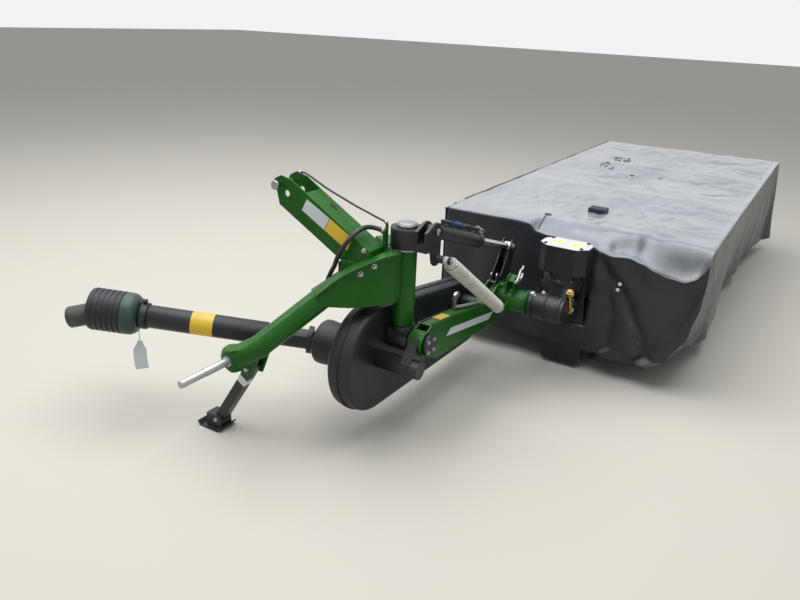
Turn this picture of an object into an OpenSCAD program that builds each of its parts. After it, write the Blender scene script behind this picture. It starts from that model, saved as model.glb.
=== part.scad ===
// Rear-mounted disc mower, parked on its stand: hitch headstock, swinging and lifting arm, covered cutting bed.
// Millimetres, +Z up, +X to the machine's rear, +Y to its working side (right), origin under the middle.
// Most places are given from the kingpin's axis (x and y) and from the floor (z).

/* [Place of the kingpin in the row frame] */
// kingpin axis, x from the origin
kingpin_x = 146.7; // [-400:1:400]
// kingpin axis, y from the origin
kingpin_y = -1603.2; // [-2200:1:-1000]

/* [Kingpin and arm hinge] */
// kingpin tube outer radius
tube_r = 42; // [30:1:60]
// kingpin radius
kingpin_r = 28; // [18:1:40]
// running clearance of every journal, radial
run_gap = 0.05; // [0.02:0.01:0.1]
// kingpin tube bottom, z
tube_z0 = 486; // [430:1:520]
// kingpin tube top, z
tube_z1 = 790; // [700:1:860]
// arm hinge axis, z (its y is the kingpin's)
hinge_z = 420; // [360:1:460]
// arm hinge journal radius
journal_r = 26; // [18:1:36]
// arm hub radius
hub_r = 50; // [40:1:64]
// arm's front face, x
arm_x0 = 50; // [45:1:80]
// arm's rear face, x
arm_x1 = 112; // [90:1:150]

/* [Hitch] */
// lower link pins' axis, x
link_x = -426; // [-560:1:-300]
// lower link pins' axis, z
link_z = 400; // [340:1:480]
// lower link pin radius (28 mm pins)
link_r = 14; // [11:0.5:18.5]
// middle of the hitch, y
hitch_y = -110; // [-200:1:0]
// distance from the hitch middle to a pin's shoulder
shoulder_dy = 412.5; // [330:0.5:500]
// pin length beyond its shoulder
link_pin_len = 226; // [150:1:260]
// top link pin, x
top_x = -440; // [-520:1:-340]
// top link pin, z
top_z = 955; // [850:1:1060]
// top link pin radius
top_r = 12.5; // [9:0.5:16]
// upper pin of the mast, x
upper_x = -480; // [-500:1:-460]
// upper pin of the mast, z
upper_z = 984; // [960:1:1000]
// mast beam width
mast_w = 96; // [60:1:120]
// mast wall
mast_wall = 6; // [4:1:10]
// hitch leg tube radius
leg_r = 43; // [30:1:50]
// thickness of the box part that joins a leg to the kingpin tube
leg_t = 62; // [40:1:90]

/* [Stand] */
// stand pivot, x
stand_x = -420; // [-480:1:-360]
// stand pivot, z
stand_z = 330; // [280:1:360]
// stand pivot, y
stand_y = -396; // [-440:1:-340]
// foot centre, x
foot_x = -631; // [-700:1:-560]
// stand tube width
stand_w = 40; // [30:1:60]
// foot plate size
foot_w = 96; // [70:1:130]
// stand pin radius
stand_pin_r = 8; // [6:0.5:12]

/* [Belt guard and input shaft] */
// input axis, y
input_y = -80; // [-140:1:-60]
// input axis, z
input_z = 345; // [300:1:400]
// guard big end radius
guard_r1 = 222; // [180:1:250]
// guard small end radius
guard_r2 = 172; // [130:1:200]
// guard small end centre, y
guard_y2 = 725; // [650:1:780]
// guard small end centre, z
guard_z2 = 278; // [240:1:360]
// guard front face, x
guard_x0 = -160; // [-200:1:-130]
// guard rear face, x
guard_x1 = -52; // [-70:1:-50]
// guard shell thickness
guard_wall = 5; // [3:0.5:8]
// input shaft radius
input_r = 17.5; // [15:0.5:22.5]
// bearing tube radius
bearing_r = 36; // [30:1:50]
// bearing tube rear end, x
bearing_x1 = 133; // [120:1:180]
// cone cup mouth, x
cup_x0 = -318; // [-360:1:-260]
// cone cup mouth radius
cup_r = 92; // [70:1:110]

/* [Drive shaft] */
// universal joint centre, x
joint_x = -300; // [-340:1:-260]
// drive shaft yaw from straight ahead, towards the parked side
shaft_yaw = 30; // [0:1:45]
// drive shaft rise towards its free end
shaft_rise = 6; // [-5:1:15]
// outer guard tube radius
shaft_r = 47; // [36:1:56]
// inner guard tube radius
shaft_r_in = 40; // [30:1:48]
// guard tube wall
shaft_wall = 4; // [2:0.5:6]
// distance from the joint to the free end cone's back
cone_s0 = 770; // [600:5:900]
// cone length
cone_len = 190; // [120:5:240]
// cone mouth radius
cone_r = 86; // [70:1:100]
// yoke end distance from the joint
yoke_s1 = 1060; // [900:5:1200]

/* [Lift cylinder] */
// cylinder plane, x
cyl_x = 81; // [60:1:130]
// head pin, y
cyl_head_y = 35; // [-20:1:80]
// head pin, z
cyl_head_z = 863; // [820:1:900]
// rod eye, y
cyl_eye_y = 800; // [700:1:860]
// rod eye, z
cyl_eye_z = 617; // [540:1:660]
// barrel radius
barrel_r = 27; // [22:1:36]
// rod radius
rod_r = 14; // [10:1:20]
// barrel length
barrel_len = 400; // [300:5:480]

/* [Relief spring] */
// spring plane, x
spring_x = 147; // [146:1:160]
// spring top eye, y
spring_y0 = 50; // [0:1:120]
// spring top eye, z
spring_z0 = 756; // [700:1:800]
// spring lower eye, y
spring_y1 = 628; // [600:1:700]
// spring lower eye, z
spring_z1 = 371; // [330:1:420]
// spring outer radius
spring_r = 29; // [22:1:36]
// spring wire thickness
spring_wire = 8; // [5:1:10]

/* [Bed pivot] */
// bed pivot, y
pivot_y = 710; // [640:1:780]
// bed pivot, z
pivot_z = 400; // [330:1:440]
// bed pivot journal radius
pivot_r = 30; // [20:1:40]
// bed pivot hub radius
pivot_hub_r = 52; // [45:1:75]
// bed pivot hub rear end, x
pivot_x1 = 250; // [200:1:280]

/* [Cutting bed] */
// gearbox column, y
gearbox_y = 885; // [860:1:910]
// disc line, x
bed_x = 335; // [280:1:400]
// inner end of the cutter bar, y
bar_y0 = 1002; // [950:1:1050]
// distance from disc to disc
disc_pitch = 385; // [360:1:440]
// disc radius to its round ends
disc_r = 188; // [160:1:200]
// disc width across the flats
disc_w = 262; // [200:1:300]
// circle of the blade tips, radius
tip_r = 236; // [210:1:250]
// blade width
blade_w = 46; // [36:1:56]
// blade thickness
blade_t = 4; // [3:1:6]
// disc underside, z
disc_z = 70; // [60:1:90]
// disc plate thickness
disc_t = 5; // [4:1:8]
// cutter bar underside, z
bar_z0 = 20; // [10:1:30]
// cutter bar top, z
bar_z1 = 58; // [45:1:65]
// free way from the end discs' blade tips to the end plates
tip_gap = 12; // [6:1:40]
// main tube width and height
beam_w = 90; // [60:1:120]
// main tube wall
beam_wall = 6; // [4:1:10]
// main tube underside, z
beam_z0 = 480; // [420:1:540]

/* [Cover] */
// cover front edge, x
cover_x0 = -340; // [-400:1:-280]
// cover rear edge, x
cover_x1 = 940; // [880:1:1000]
// cover's reach past the inner end plate
cover_over0 = 5; // [0:1:30]
// cover's reach past the outer end plate
cover_over1 = 45; // [20:1:80]
// slant of the inner curtain's rear edge
slant = 205; // [100:5:260]
// reach of the slanted rear corner along the rear curtain
corner_reach = 558; // [300:1:700]
// outward flare of the outer curtain at its hem
flare = 90; // [0:5:120]
// cover top, z
cover_z = 700; // [640:1:760]
// curtain hem, z
hem_z = 110; // [60:1:180]
// sheet thickness
sheet_t = 3; // [2:0.5:5]
// rail radius
rail_r = 17; // [12:1:25]

/* [Hidden] */
$fn = 64;
cyl_len = norm([cyl_eye_y - cyl_head_y, cyl_eye_z - cyl_head_z]);
spring_len = norm([spring_y1 - spring_y0, spring_z1 - spring_z0]);
stand_len = norm([foot_x - stand_x, stand_z]);
stand_lean = atan2(stand_x - foot_x, stand_z);
plate_t = 8;
end_plate_t = 12;
disc_count = 7;
disc_y0 = bar_y0 + tip_gap + tip_r;
bar_y1 = disc_y0 + (disc_count - 1) * disc_pitch + tip_r + tip_gap;
end_y0 = bar_y0 - end_plate_t;
cover_y0 = end_y0 - cover_over0;
cover_y1 = bar_y1 + end_plate_t + cover_over1;
head_pin_r = 12;
upper_r = 11;
web_z = 368;
hose_r = 9;
cable_r = 4;
// routes of the hose, from beside the swivel head to the left leg, and of the cable, from the mast's tip to the head
hose_route = [[-72, -62, 858], [-90, -68, 863], [-105, -82, 868], [-113, -104, 871], [-115, -130, 871],
              [-119, -156, 864], [-129, -177, 846], [-145, -190, 820], [-163, -196, 790],
              [-180, -194, 757], [-198, -182, 727], [-220, -168, 699], [-236, -166, 668],
              [-244, -172, 638], [-248, -178, 610]];
cable_route = [[-446, -66, 1020], [-428, -66, 1021], [-410, -66, 1015], [-392, -65, 1007],
               [-374, -64, 998], [-356, -63, 990], [-338, -62, 981], [-320, -60, 973], [-302, -59, 966],
               [-284, -57, 959], [-266, -56, 952], [-248, -54, 945], [-230, -52, 938], [-212, -50, 931],
               [-194, -48, 924], [-176, -46, 918], [-158, -44, 912], [-140, -42, 906], [-122, -39, 899],
               [-104, -35, 892], [-90, -32, 887], [-78, -30, 882]];
eye_pin_r = 7;
hose_n = len(hose_route) - 1;
cable_n = len(cable_route) - 1;
green = [0.16, 0.42, 0.12];
black = [0.06, 0.06, 0.07];
steel = [0.7, 0.7, 0.72];
grey = [0.2, 0.21, 0.22];

// Everything is placed from the kingpin's axis.
module placed() { translate([kingpin_x, kingpin_y, 0]) children(); }

// Cylinder along X from x0 to x1 at (y, z).
module bar_x(r, x0, x1, y, z) { translate([x0, y, z]) rotate([0, 90, 0]) cylinder(r = r, h = x1 - x0); }

// Cylinder along Y from y0 to y1 at (x, z).
module bar_y(r, y0, y1, x, z) { translate([x, y0, z]) rotate([-90, 0, 0]) cylinder(r = r, h = y1 - y0); }

// Cylinder along Z from z0 to z1 at (x, y).
module bar_z(r, z0, z1, x, y) { translate([x, y, z0]) cylinder(r = r, h = z1 - z0); }

// Box from its low corner to its high corner.
module block(a, b) { translate(a) cube(b - a); }

// Outline in the YZ plane, drawn as (y, z), from x0 to x1.
module plate_x(x0, x1) { translate([x0, 0, 0]) rotate([90, 0, 90]) linear_extrude(x1 - x0) children(); }

// Outline in the XZ plane, drawn as (x, z), from y0 to y1.
module plate_y(y0, y1) { translate([0, y1, 0]) rotate([90, 0, 0]) linear_extrude(y1 - y0) children(); }

// Children drawn along +Z from (y0, z0) in the plane x, turned to aim at (y1, z1).
module aimed(x, y0, z0, y1, z1) {
  translate([x, y0, z0]) rotate([atan2(z1 - z0, y1 - y0) - 90, 0, 0]) children();
}

// Children drawn along +X from the universal joint, turned along the drive shaft.
module on_shaft() {
  translate([joint_x, input_y, input_z]) rotate([0, 0, 180 + shaft_yaw]) rotate([0, -shaft_rise, 0]) children();
}

// Tube along +X.
module tube_along(r, wall, s0, s1) {
  difference() {
    bar_x(r, s0, s1, 0, 0);
    bar_x(r - wall, s0 - 1, s1 + 1, 0, 0);
  }
}

// Rod from the point a to the point b.
module rod(r, a, b) {
  way = b - a;
  translate(a) rotate([0, acos(way[2] / norm(way)), atan2(way[1], way[0])]) cylinder(r = r, h = norm(way));
}

// Outline of a belt round two circles. Its straight sides start a hair inside the circles.
module pear(c1, r1, c2, r2) {
  hair = 0.05;
  base = atan2(c2[1] - c1[1], c2[0] - c1[0]);
  a = acos((r1 - r2) / norm(c2 - c1));
  up = [cos(base + a), sin(base + a)];
  down = [cos(base - a), sin(base - a)];
  translate(c1) circle(r1);
  translate(c2) circle(r2);
  polygon([c1 + (r1 - hair) * up, c1 + (r1 - hair) * down, c2 + (r2 - hair) * down, c2 + (r2 - hair) * up]);
}

// Headstock. A leg is a bent round tube that runs into a box part with a flange on top.
// Its places are (way from the pin to the kingpin, z).
left_bend = [95, 438];
left_end = [385, 655];
left_box = [[372, 592], [640, 600], [640, 784], [590, 780], [430, 706], [340, 650]];
left_flange = [[296, 632], [430, 716], [590, 789], [620, 789], [620, 779], [592, 779], [434, 705], [302, 622]];
right_bend = [75, 428];
right_end = [267, 686];
right_box = [[258, 668], [300, 662], [500, 668], [500, 784], [330, 784], [246, 716]];
right_flange = [[236, 704], [326, 789], [440, 789], [440, 779], [330, 779], [244, 696]];

module leg(side, bend, end, box, flange) {
  pin_y = hitch_y + side * (shoulder_dy - leg_t / 2);
  run = norm([link_x, pin_y]);
  bead = 1.5;
  flange_w = leg_t + 24;
  translate([link_x, pin_y, 0]) rotate([0, 0, atan2(-pin_y, -link_x)]) {
    rod(leg_r, [0, 0, link_z], [bend[0], 0, bend[1]]);
    translate([bend[0], 0, bend[1]]) sphere(leg_r + bead);
    rod(leg_r, [bend[0], 0, bend[1]], [end[0], 0, end[1]]);
    // boss round the link pin
    plate_y(-leg_t / 2, leg_t / 2) translate([0, link_z]) circle(leg_r + bead);
    intersection() {
      union() {
        plate_y(-leg_t / 2, leg_t / 2) polygon(box);
        plate_y(-flange_w / 2, flange_w / 2) polygon(flange);
      }
      block([0, -flange_w, 0], [run - tube_r / 2, flange_w, tube_z1]);
    }
  }
}

module stand_ear(y) {
  plate_y(y, y + plate_t) difference() {
    polygon([[stand_x - 34, stand_z - 30], [stand_x + 20, stand_z - 30], [stand_x + 60, link_z], [stand_x - 34, link_z]]);
    translate([stand_x, stand_z]) circle(stand_pin_r + run_gap);
  }
}

module headstock() {
  ear_gap = stand_w / 2 + 5;
  color(green) placed() difference() {
    union() {
      bar_z(tube_r, tube_z0, tube_z1, 0, 0);
      leg(-1, left_bend, left_end, left_box, left_flange);
      leg(1, right_bend, right_end, right_box, right_flange);
      // seat of the mast, tying both legs together
      block([-190, hitch_y - 60, 640], [-60, hitch_y + 60, 740]);
      block([-150, -95, 655], [-20, 20, 735]);
      // holders of the hose and of the cable, beside the swivel head
      bar_z(8, 740, hose_route[0][2], -66, -50);
      rod(12, hose_route[0], hose_route[0] + 14 * unit(hose_route[0] - hose_route[1]));
      bar_z(6, 720, cable_route[cable_n][2] - 5, -71, -29);
      rod(7, cable_route[cable_n], cable_route[cable_n] + 8 * along(cable_route, cable_n));
      // tap on the left leg that the hose leads to
      rod(12, hose_route[hose_n], hose_route[hose_n] + 30 * along(hose_route, hose_n));
      bar_z(24, 576, 602, -240, -200);
      for (side = [-1, 1]) {
        shoulder = hitch_y + side * shoulder_dy;
        bar_y(30, min(shoulder, shoulder - side * 50), max(shoulder, shoulder - side * 50), link_x, link_z);
      }
      stand_ear(stand_y - ear_gap - plate_t);
      stand_ear(stand_y + ear_gap);
      // cross tube over the ears, from the left leg inwards
      block([stand_x - 34, stand_y - 70, link_z - 10], [stand_x + 34, stand_y + 60, link_z + 24]);
    }
    bar_z(kingpin_r + run_gap, 0, tube_z1 + 1, 0, 0);
    // notch that the mast sits in
    plate_y(hitch_y - mast_w / 2, hitch_y + mast_w / 2) polygon(mast_profile);
    // the legs end at the pins' shoulders
    for (side = [-1, 1]) {
      shoulder = hitch_y + side * shoulder_dy;
      block([link_x - 100, min(shoulder, shoulder + side * 100), 300], [link_x + 100, max(shoulder, shoulder + side * 100), 500]);
    }
  }
}

// Mast: a box beam from its seat up and forwards to the top link holes.
mast_profile = [[-500, 1004], [-478, 908], [-186, 742], [-60, 742], [-60, 800], [-100, 822], [-420, 1010], [-470, 1020]];

module mast() {
  color(green) placed() difference() {
    plate_y(hitch_y - mast_w / 2, hitch_y + mast_w / 2) {
      polygon(mast_profile);
      translate([upper_x, upper_z]) circle(26);
    }
    // open front end between the two cheeks
    plate_y(hitch_y - mast_w / 2 + mast_wall, hitch_y + mast_w / 2 - mast_wall)
      polygon([[-520, 1030], [-500, 890], [-380, 860], [-350, 985], [-420, 1030]]);
    bar_y(top_r + 0.1, hitch_y - mast_w, hitch_y + mast_w, top_x, top_z);
    bar_y(upper_r + run_gap, hitch_y - mast_w, hitch_y + mast_w, upper_x, upper_z);
  }
  // holder of the cable
  color(green) placed() {
    block([-464, hitch_y + mast_w / 2 - mast_wall, 1004], [-450, hitch_y + mast_w / 2 + 2, 1022]);
    rod(6, cable_route[0], cable_route[0] - 14 * along(cable_route, 0));
  }
}

// Lower link pins, the upper pin of the mast and the pin of the stand.
module hitch_pins() {
  stand_half = stand_w / 2 + 5 + plate_t + 12;
  upper_half = mast_w / 2 + 16;
  color(steel) placed() {
    bar_y(upper_r, hitch_y - upper_half, hitch_y + upper_half, upper_x, upper_z);
    bar_y(18, hitch_y - upper_half - 10, hitch_y - upper_half, upper_x, upper_z);
    bar_y(stand_pin_r, stand_y - stand_half, stand_y + stand_half, stand_x, stand_z);
    for (side = [-1, 1]) {
      shoulder = hitch_y + side * shoulder_dy;
      tip = shoulder + side * link_pin_len;
      bar_y(link_r, min(shoulder, tip), max(shoulder, tip), link_x, link_z);
    }
  }
}

// Hose and cable: a tube swept through the points of its route, with a ring at each point.
// Side is a direction that the route never runs along.
function unit(v) = v / norm(v);
function along(p, i) = unit(p[min(i + 1, len(p) - 1)] - p[max(i - 1, 0)]);

module swept(p, r, side) {
  k = 10;
  n = len(p);
  rings = [for (i = [0:n - 1])
           let (t = along(p, i), u = unit(cross(side, t)), w = cross(t, u))
           for (j = [0:k - 1]) p[i] + r * cos(360 * j / k) * u + r * sin(360 * j / k) * w];
  walls = [for (i = [0:n - 2], j = [0:k - 1])
           each [[i * k + j, (i + 1) * k + j, (i + 1) * k + (j + 1) % k],
                 [i * k + j, (i + 1) * k + (j + 1) % k, i * k + (j + 1) % k]]];
  first = [for (j = [0:k - 1]) j];
  last = [for (j = [0:k - 1]) (n - 1) * k + k - 1 - j];
  polyhedron(rings, concat([first, last], walls));
}

module headstock_hose() { color(black) placed() swept(hose_route, hose_r, [0, 1, 0.3]); }

module mast_cable() { color(black) placed() swept(cable_route, cable_r, [0, 1, 0]); }

// Stand leg: a square tube down to a foot plate with turned-up edges.
module stand_leg() {
  edge = 18;
  color(black) placed() {
    translate([stand_x, stand_y, stand_z]) rotate([0, stand_lean, 0]) difference() {
      block([-stand_w / 2, -stand_w / 2, -stand_len + 34], [stand_w / 2, stand_w / 2, 24]);
      block([-stand_w / 2 + 4, -stand_w / 2 + 4, -stand_len], [stand_w / 2 - 4, stand_w / 2 - 4, 30]);
      translate([0, -stand_w, 0]) bar_y(stand_pin_r + run_gap, 0, 2 * stand_w, 0, 0);
    }
    plate_y(stand_y - foot_w / 2, stand_y + foot_w / 2)
      polygon([[foot_x - 62, edge], [foot_x - 44, 0], [foot_x + 44, 0], [foot_x + 62, edge], [foot_x + 58, edge + 4],
               [foot_x + 42, 6], [foot_x - 42, 6], [foot_x - 58, edge + 4]]);
    // socket that holds the tube on the foot
    difference() {
      block([foot_x - 26, stand_y - 30, 5], [foot_x + 52, stand_y + 30, 62]);
      translate([stand_x, stand_y, stand_z]) rotate([0, stand_lean, 0])
        block([-stand_w / 2, -stand_w / 2, -stand_len + 34], [stand_w / 2, stand_w / 2, 0]);
    }
  }
}

module kingpin() {
  color(steel) placed() {
    bar_z(kingpin_r, tube_z0 - 4, 873, 0, 0);
    bar_z(40, 872, 884, 0, 0);
  }
}

// Swivel head: the ring on the kingpin with the cylinder's clevis. The rear ear hangs down to the spring's top eye.
module swivel_head() {
  ring_r = 62;
  ear_t = 12;
  eye_half = 14;
  ear_x = cyl_x + eye_half;
  pin_x0 = ear_x + ear_t;
  color(black) placed() {
    difference() {
      union() {
        bar_z(ring_r, 796, 872, 0, 0);
        block([0, -40, 796], [cyl_x - eye_half, 62, 872]);
        block([cyl_x - 24, -40, 796], [ear_x + ear_t / 2, 4, 826]);
        plate_x(cyl_x - eye_half - ear_t, cyl_x - eye_half)
          polygon([[-40, 796], [62, 796], [72, 840], [66, 884], [45, 896], [15, 896], [-40, 872]]);
        plate_x(ear_x, ear_x + ear_t)
          polygon([[-40, 796], [6, 790], [18, 744], [34, 730], [58, 730], [72, 746], [72, 840], [66, 884], [45, 896],
                   [15, 896], [-40, 872]]);
      }
      bar_z(kingpin_r, 700, 900, 0, 0);
    }
    // pins of the cylinder's head and of the spring's top eye
    bar_x(head_pin_r, cyl_x - eye_half - ear_t - 6, pin_x0 + 6, cyl_head_y, cyl_head_z);
    bar_x(eye_pin_r, ear_x + 1, spring_x + 20, spring_y0, spring_z0);
    bar_x(15, pin_x0 - 1, spring_x - 10, spring_y0, spring_z0);
    bar_x(14, spring_x + 10, spring_x + 15, spring_y0, spring_z0);
  }
}

// Swivel foot: the casting under the kingpin tube with the arm's journal.
module swivel_foot() {
  color(black) placed() {
    difference() {
      union() {
        bar_z(tube_r + 4, 464, tube_z0 - 4, 0, 0);
        plate_x(-44, 44) difference() {
          translate([0, hinge_z]) circle(tube_r + 6);
          translate([-60, 464]) square([120, 60]);
        }
        block([-44, -tube_r, hinge_z], [44, tube_r, 466]);
      }
    }
    bar_x(journal_r, 43, arm_x1 + 6, 0, hinge_z);
    bar_x(44, arm_x1 + 6, arm_x1 + 18, 0, hinge_z);
  }
}

// Arm: a welded box from its hub to the bed pivot's hub.
arm_outline = [[0, 372], [92, 326], [400, 312], [640, 300], [700, 322], [752, 352], [772, 400], [768, 440], [743, 474],
               [690, 478], [640, 466], [560, 416], [216, 466], [40, 488], [0, 470]];

module arm_beam() {
  color(green) placed() difference() {
    union() {
      for (x = [arm_x0, arm_x1 - plate_t]) plate_x(x, x + plate_t) polygon(arm_outline);
      plate_x(arm_x0 + plate_t, arm_x1 - plate_t)
        polygon([[30, 482], [216, 460], [560, 410], [600, 438], [600, 444], [560, 416], [216, 466], [30, 488]]);
      plate_x(arm_x0 + plate_t, arm_x1 - plate_t)
        polygon([[30, 352], [92, 326], [400, 312], [640, 300], [640, 306], [400, 318], [92, 332], [30, 358]]);
      bar_x(hub_r, arm_x0, arm_x1, 0, hinge_z);
      bar_x(pivot_hub_r, arm_x0, pivot_x1, pivot_y, pivot_z);
      // lugs of the spring's lower end
      for (x = [spring_x - 22, spring_x + 12])
        plate_x(x, x + 10) polygon([[spring_y1 - 22, spring_z1 - 15], [700, 342], [700, 410], [640, 398],
                                  [spring_y1 - 20, spring_z1 + 18]]);
    }
    bar_x(journal_r + run_gap, arm_x0 - 1, arm_x1 + 1, 0, hinge_z);
    bar_x(pivot_r + run_gap, arm_x0 + 12, pivot_x1 + 1, pivot_y, pivot_z);
  }
}

// Lift lever: two plates between the arm's side plates, up to the eye of the cylinder's rod.
module lift_lever() {
  lever_t = 4.5;
  inner0 = arm_x0 + plate_t;
  inner1 = arm_x1 - plate_t;
  color(black) placed() {
    difference() {
      union() {
        for (x = [inner0, inner1 - lever_t]) plate_x(x, x + lever_t)
          polygon([[672, 436], [762, 414], [770, 430], [838, 600], [836, 636], [800, 655], [782, 640], [760, 590],
                   [690, 500]]);
        // web between the plates
        plate_x(inner0, inner1) polygon([[770, 432], [808, 526], [800, 528], [762, 434]]);
      }
      bar_x(pivot_hub_r, arm_x0, arm_x1, pivot_y, pivot_z);
    }
    // bosses of the eye's pin
    bar_x(24, arm_x0, inner0 + 1, cyl_eye_y, cyl_eye_z);
    bar_x(24, inner1 - 1, arm_x1, cyl_eye_y, cyl_eye_z);
  }
}

// Belt guard, two shells that meet at a seam.
guard_c1 = [input_y, input_z];
guard_c2 = [guard_y2, guard_z2];
seam_x = (guard_x0 + guard_x1) / 2;

module guard_outline(inset) { pear(guard_c1, guard_r1 - inset, guard_c2, guard_r2 - inset); }

module guard_front() {
  color(black) placed() difference() {
    union() {
      plate_x(guard_x0 + 14, seam_x) guard_outline(6);
      plate_x(guard_x0, guard_x0 + 15) guard_outline(22);
      plate_x(seam_x - 8, seam_x) guard_outline(0);
    }
    plate_x(guard_x0 + 14 + guard_wall, seam_x + 1) guard_outline(6 + guard_wall);
    plate_x(guard_x0 + guard_wall, guard_x0 + 20) guard_outline(22 + guard_wall);
    bar_x(bearing_r + 4, guard_x0 - 1, seam_x, input_y, input_z);
  }
}

module guard_rear() {
  color(black) placed() difference() {
    union() {
      plate_x(seam_x, guard_x1) guard_outline(6);
      plate_x(seam_x, seam_x + 8) guard_outline(0);
      // stay between the guard and the arm's front plate
      bar_x(34, guard_x1 - 1, arm_x0, 650, 356);
    }
    plate_x(seam_x - 1, guard_x1 - guard_wall) guard_outline(6 + guard_wall);
    bar_x(bearing_r, guard_x1 - 30, guard_x1 + 1, input_y, input_z);
  }
}

module bearing_tube() {
  color(black) placed() difference() {
    union() {
      bar_x(bearing_r, guard_x1 - guard_wall, bearing_x1, input_y, input_z);
      plate_x(arm_x0 + 10, arm_x1 - 10) difference() {
        polygon([[-110, 330], [-60, 310], [28, 366], [0, 420], [-40, 452], [-112, 368]]);
        translate([0, hinge_z]) circle(hub_r);
      }
    }
    bar_x(input_r + run_gap, guard_x1 - 20, bearing_x1 - 8, input_y, input_z);
  }
}

module cone_cup() {
  wall = 4;
  color(black) placed() {
    translate([guard_x0, input_y, input_z]) rotate([0, -90, 0]) rotate_extrude()
      polygon([[60, 0], [74, 0], [80, 40], [84, 60], [cup_r, guard_x0 - cup_x0 - 20], [cup_r, guard_x0 - cup_x0],
               [cup_r - wall, guard_x0 - cup_x0], [cup_r - wall, guard_x0 - cup_x0 - 18], [84 - wall, 62],
               [80 - wall, 42], [74 - wall, wall], [60, wall]]);
    // bosses of the knuckle's upright pin
    for (side = [-1, 1]) difference() {
      z0 = input_z + side * 72;
      bar_z(16, min(z0, z0 + side * 18), max(z0, z0 + side * 18), joint_x, input_y);
      bar_z(10 + run_gap, input_z - 100, input_z + 100, joint_x, input_y);
    }
  }
}

// Input shaft. It starts clear of the joint's ears.
input_x0 = joint_x + 56;

module input_shaft() {
  color(steel) placed() {
    bar_x(input_r, input_x0, bearing_x1 - 20, input_y, input_z);
    bar_x(34, input_x0, input_x0 + 24, input_y, input_z);
  }
}

module shaft_knuckle() {
  color(steel) placed() {
    translate([joint_x, input_y, input_z]) sphere(28);
    bar_z(10, input_z - 80, input_z + 80, joint_x, input_y);
    on_shaft() bar_y(10, -50, 50, 0, 0);
  }
}

module shaft_inner_guard() {
  color(black) placed() on_shaft() {
    for (side = [-1, 1]) difference() {
      block([-18, side > 0 ? 37.5 : -49, -18], [70, side > 0 ? 49 : -37.5, 18]);
      bar_y(10 + run_gap, -60, 60, 0, 0);
    }
    difference() {
      bar_x(56, 64, 84, 0, 0);
      bar_x(shaft_r_in - shaft_wall, 60, 90, 0, 0);
    }
    tube_along(shaft_r_in, shaft_wall, 84, 600);
  }
}

module shaft_outer_guard() {
  color(black) placed() on_shaft() tube_along(shaft_r, shaft_wall, 250, cone_s0);
}

// Ribbed cone at the free end.
module shaft_cone() {
  ribs = 6;
  rib_w = 11;
  step = (cone_len - 60) / ribs;
  color(black) placed() on_shaft() translate([cone_s0, 0, 0]) rotate([0, 90, 0]) {
    rotate_extrude() polygon([[20, 0], [56, 0], [78, 22], [82, 60], [cone_r - 3, cone_len], [cone_r - 7, cone_len],
                              [78, 60], [74, 26], [54, 5], [20, 5]]);
    for (i = [0:ribs - 1]) translate([0, 0, 62 + i * step]) difference() {
      cylinder(r = cone_r, h = rib_w);
      translate([0, 0, -1]) cylinder(r = cone_r - 7, h = rib_w + 2);
    }
  }
}

// Free end yoke, hanging a little from the shaft, with the core shaft behind it.
module shaft_yoke() {
  hang = 20;
  pivot_s = 900;
  color(grey) placed() on_shaft() {
    bar_x(17, 190, pivot_s - 30, 0, 0);
    bar_x(19.9, cone_s0 + 0.3, cone_s0 + 40, 0, 0);
    for (side = [-1, 1]) block([pivot_s - 60, side > 0 ? 30 : -42, -20], [pivot_s + 18, side > 0 ? 42 : -30, 20]);
    block([pivot_s - 60, -42, -20], [pivot_s - 44, 42, 20]);
    bar_y(11, -44, 44, pivot_s, 0);
    translate([pivot_s, 0, 0]) rotate([0, hang, 0]) difference() {
      union() {
        sphere(26);
        bar_z(11, -44, 44, 0, 0);
        for (side = [-1, 1]) block([-18, -20, side > 0 ? 30 : -42], [70, 20, side > 0 ? 42 : -30]);
        bar_x(44, 60, yoke_s1 - pivot_s, 0, 0);
      }
      bar_x(input_r, 80, yoke_s1, 0, 0);
    }
  }
}

// Lift cylinder, drawn along +Z from its head pin.
module lift_barrel() {
  color(black) placed() aimed(cyl_x, cyl_head_y, cyl_head_z, cyl_eye_y, cyl_eye_z) difference() {
    union() {
      bar_z(barrel_r, 50, 50 + barrel_len, 0, 0);
      bar_z(barrel_r + 4, 50 + barrel_len - 34, 50 + barrel_len, 0, 0);
      bar_x(24, -12, 12, 0, 0);
      block([-12, -18, 0], [12, 18, 52]);
    }
    bar_x(head_pin_r + run_gap, -13, 13, 0, 0);
    bar_z(rod_r + 5, 70, 50 + barrel_len - 30, 0, 0);
    bar_z(rod_r + run_gap, 60, 60 + barrel_len, 0, 0);
  }
}

module lift_rod() {
  color(steel) placed() aimed(cyl_x, cyl_head_y, cyl_head_z, cyl_eye_y, cyl_eye_z) {
    bar_z(rod_r, cyl_len - 410, cyl_len - 10, 0, 0);
    bar_x(24, -18, 18, 0, cyl_len);
  }
}

// Relief spring, drawn along +Z from its top eye.
module spring_coil() {
  color([0.85, 0.83, 0.78]) placed() aimed(spring_x, spring_y0, spring_z0, spring_y1, spring_z1) difference() {
    union() {
      bar_z(spring_r, 40, 560, 0, 0);
      bar_x(16, -8, 8, 0, 0);
      bar_z(9, 0, 45, 0, 0);
    }
    bar_x(eye_pin_r + run_gap, -9, 9, 0, 0);
    bar_z(spring_r - spring_wire, 60, 552, 0, 0);
    bar_z(8.5, 500, 600, 0, 0);
  }
}

module spring_rod() {
  color(steel) placed() aimed(spring_x, spring_y0, spring_z0, spring_y1, spring_z1) {
    bar_z(8, 400, spring_len - 8, 0, 0);
    bar_z(16, 396, 408, 0, 0);
    bar_x(14, -9, 9, 0, spring_len);
  }
}

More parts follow.
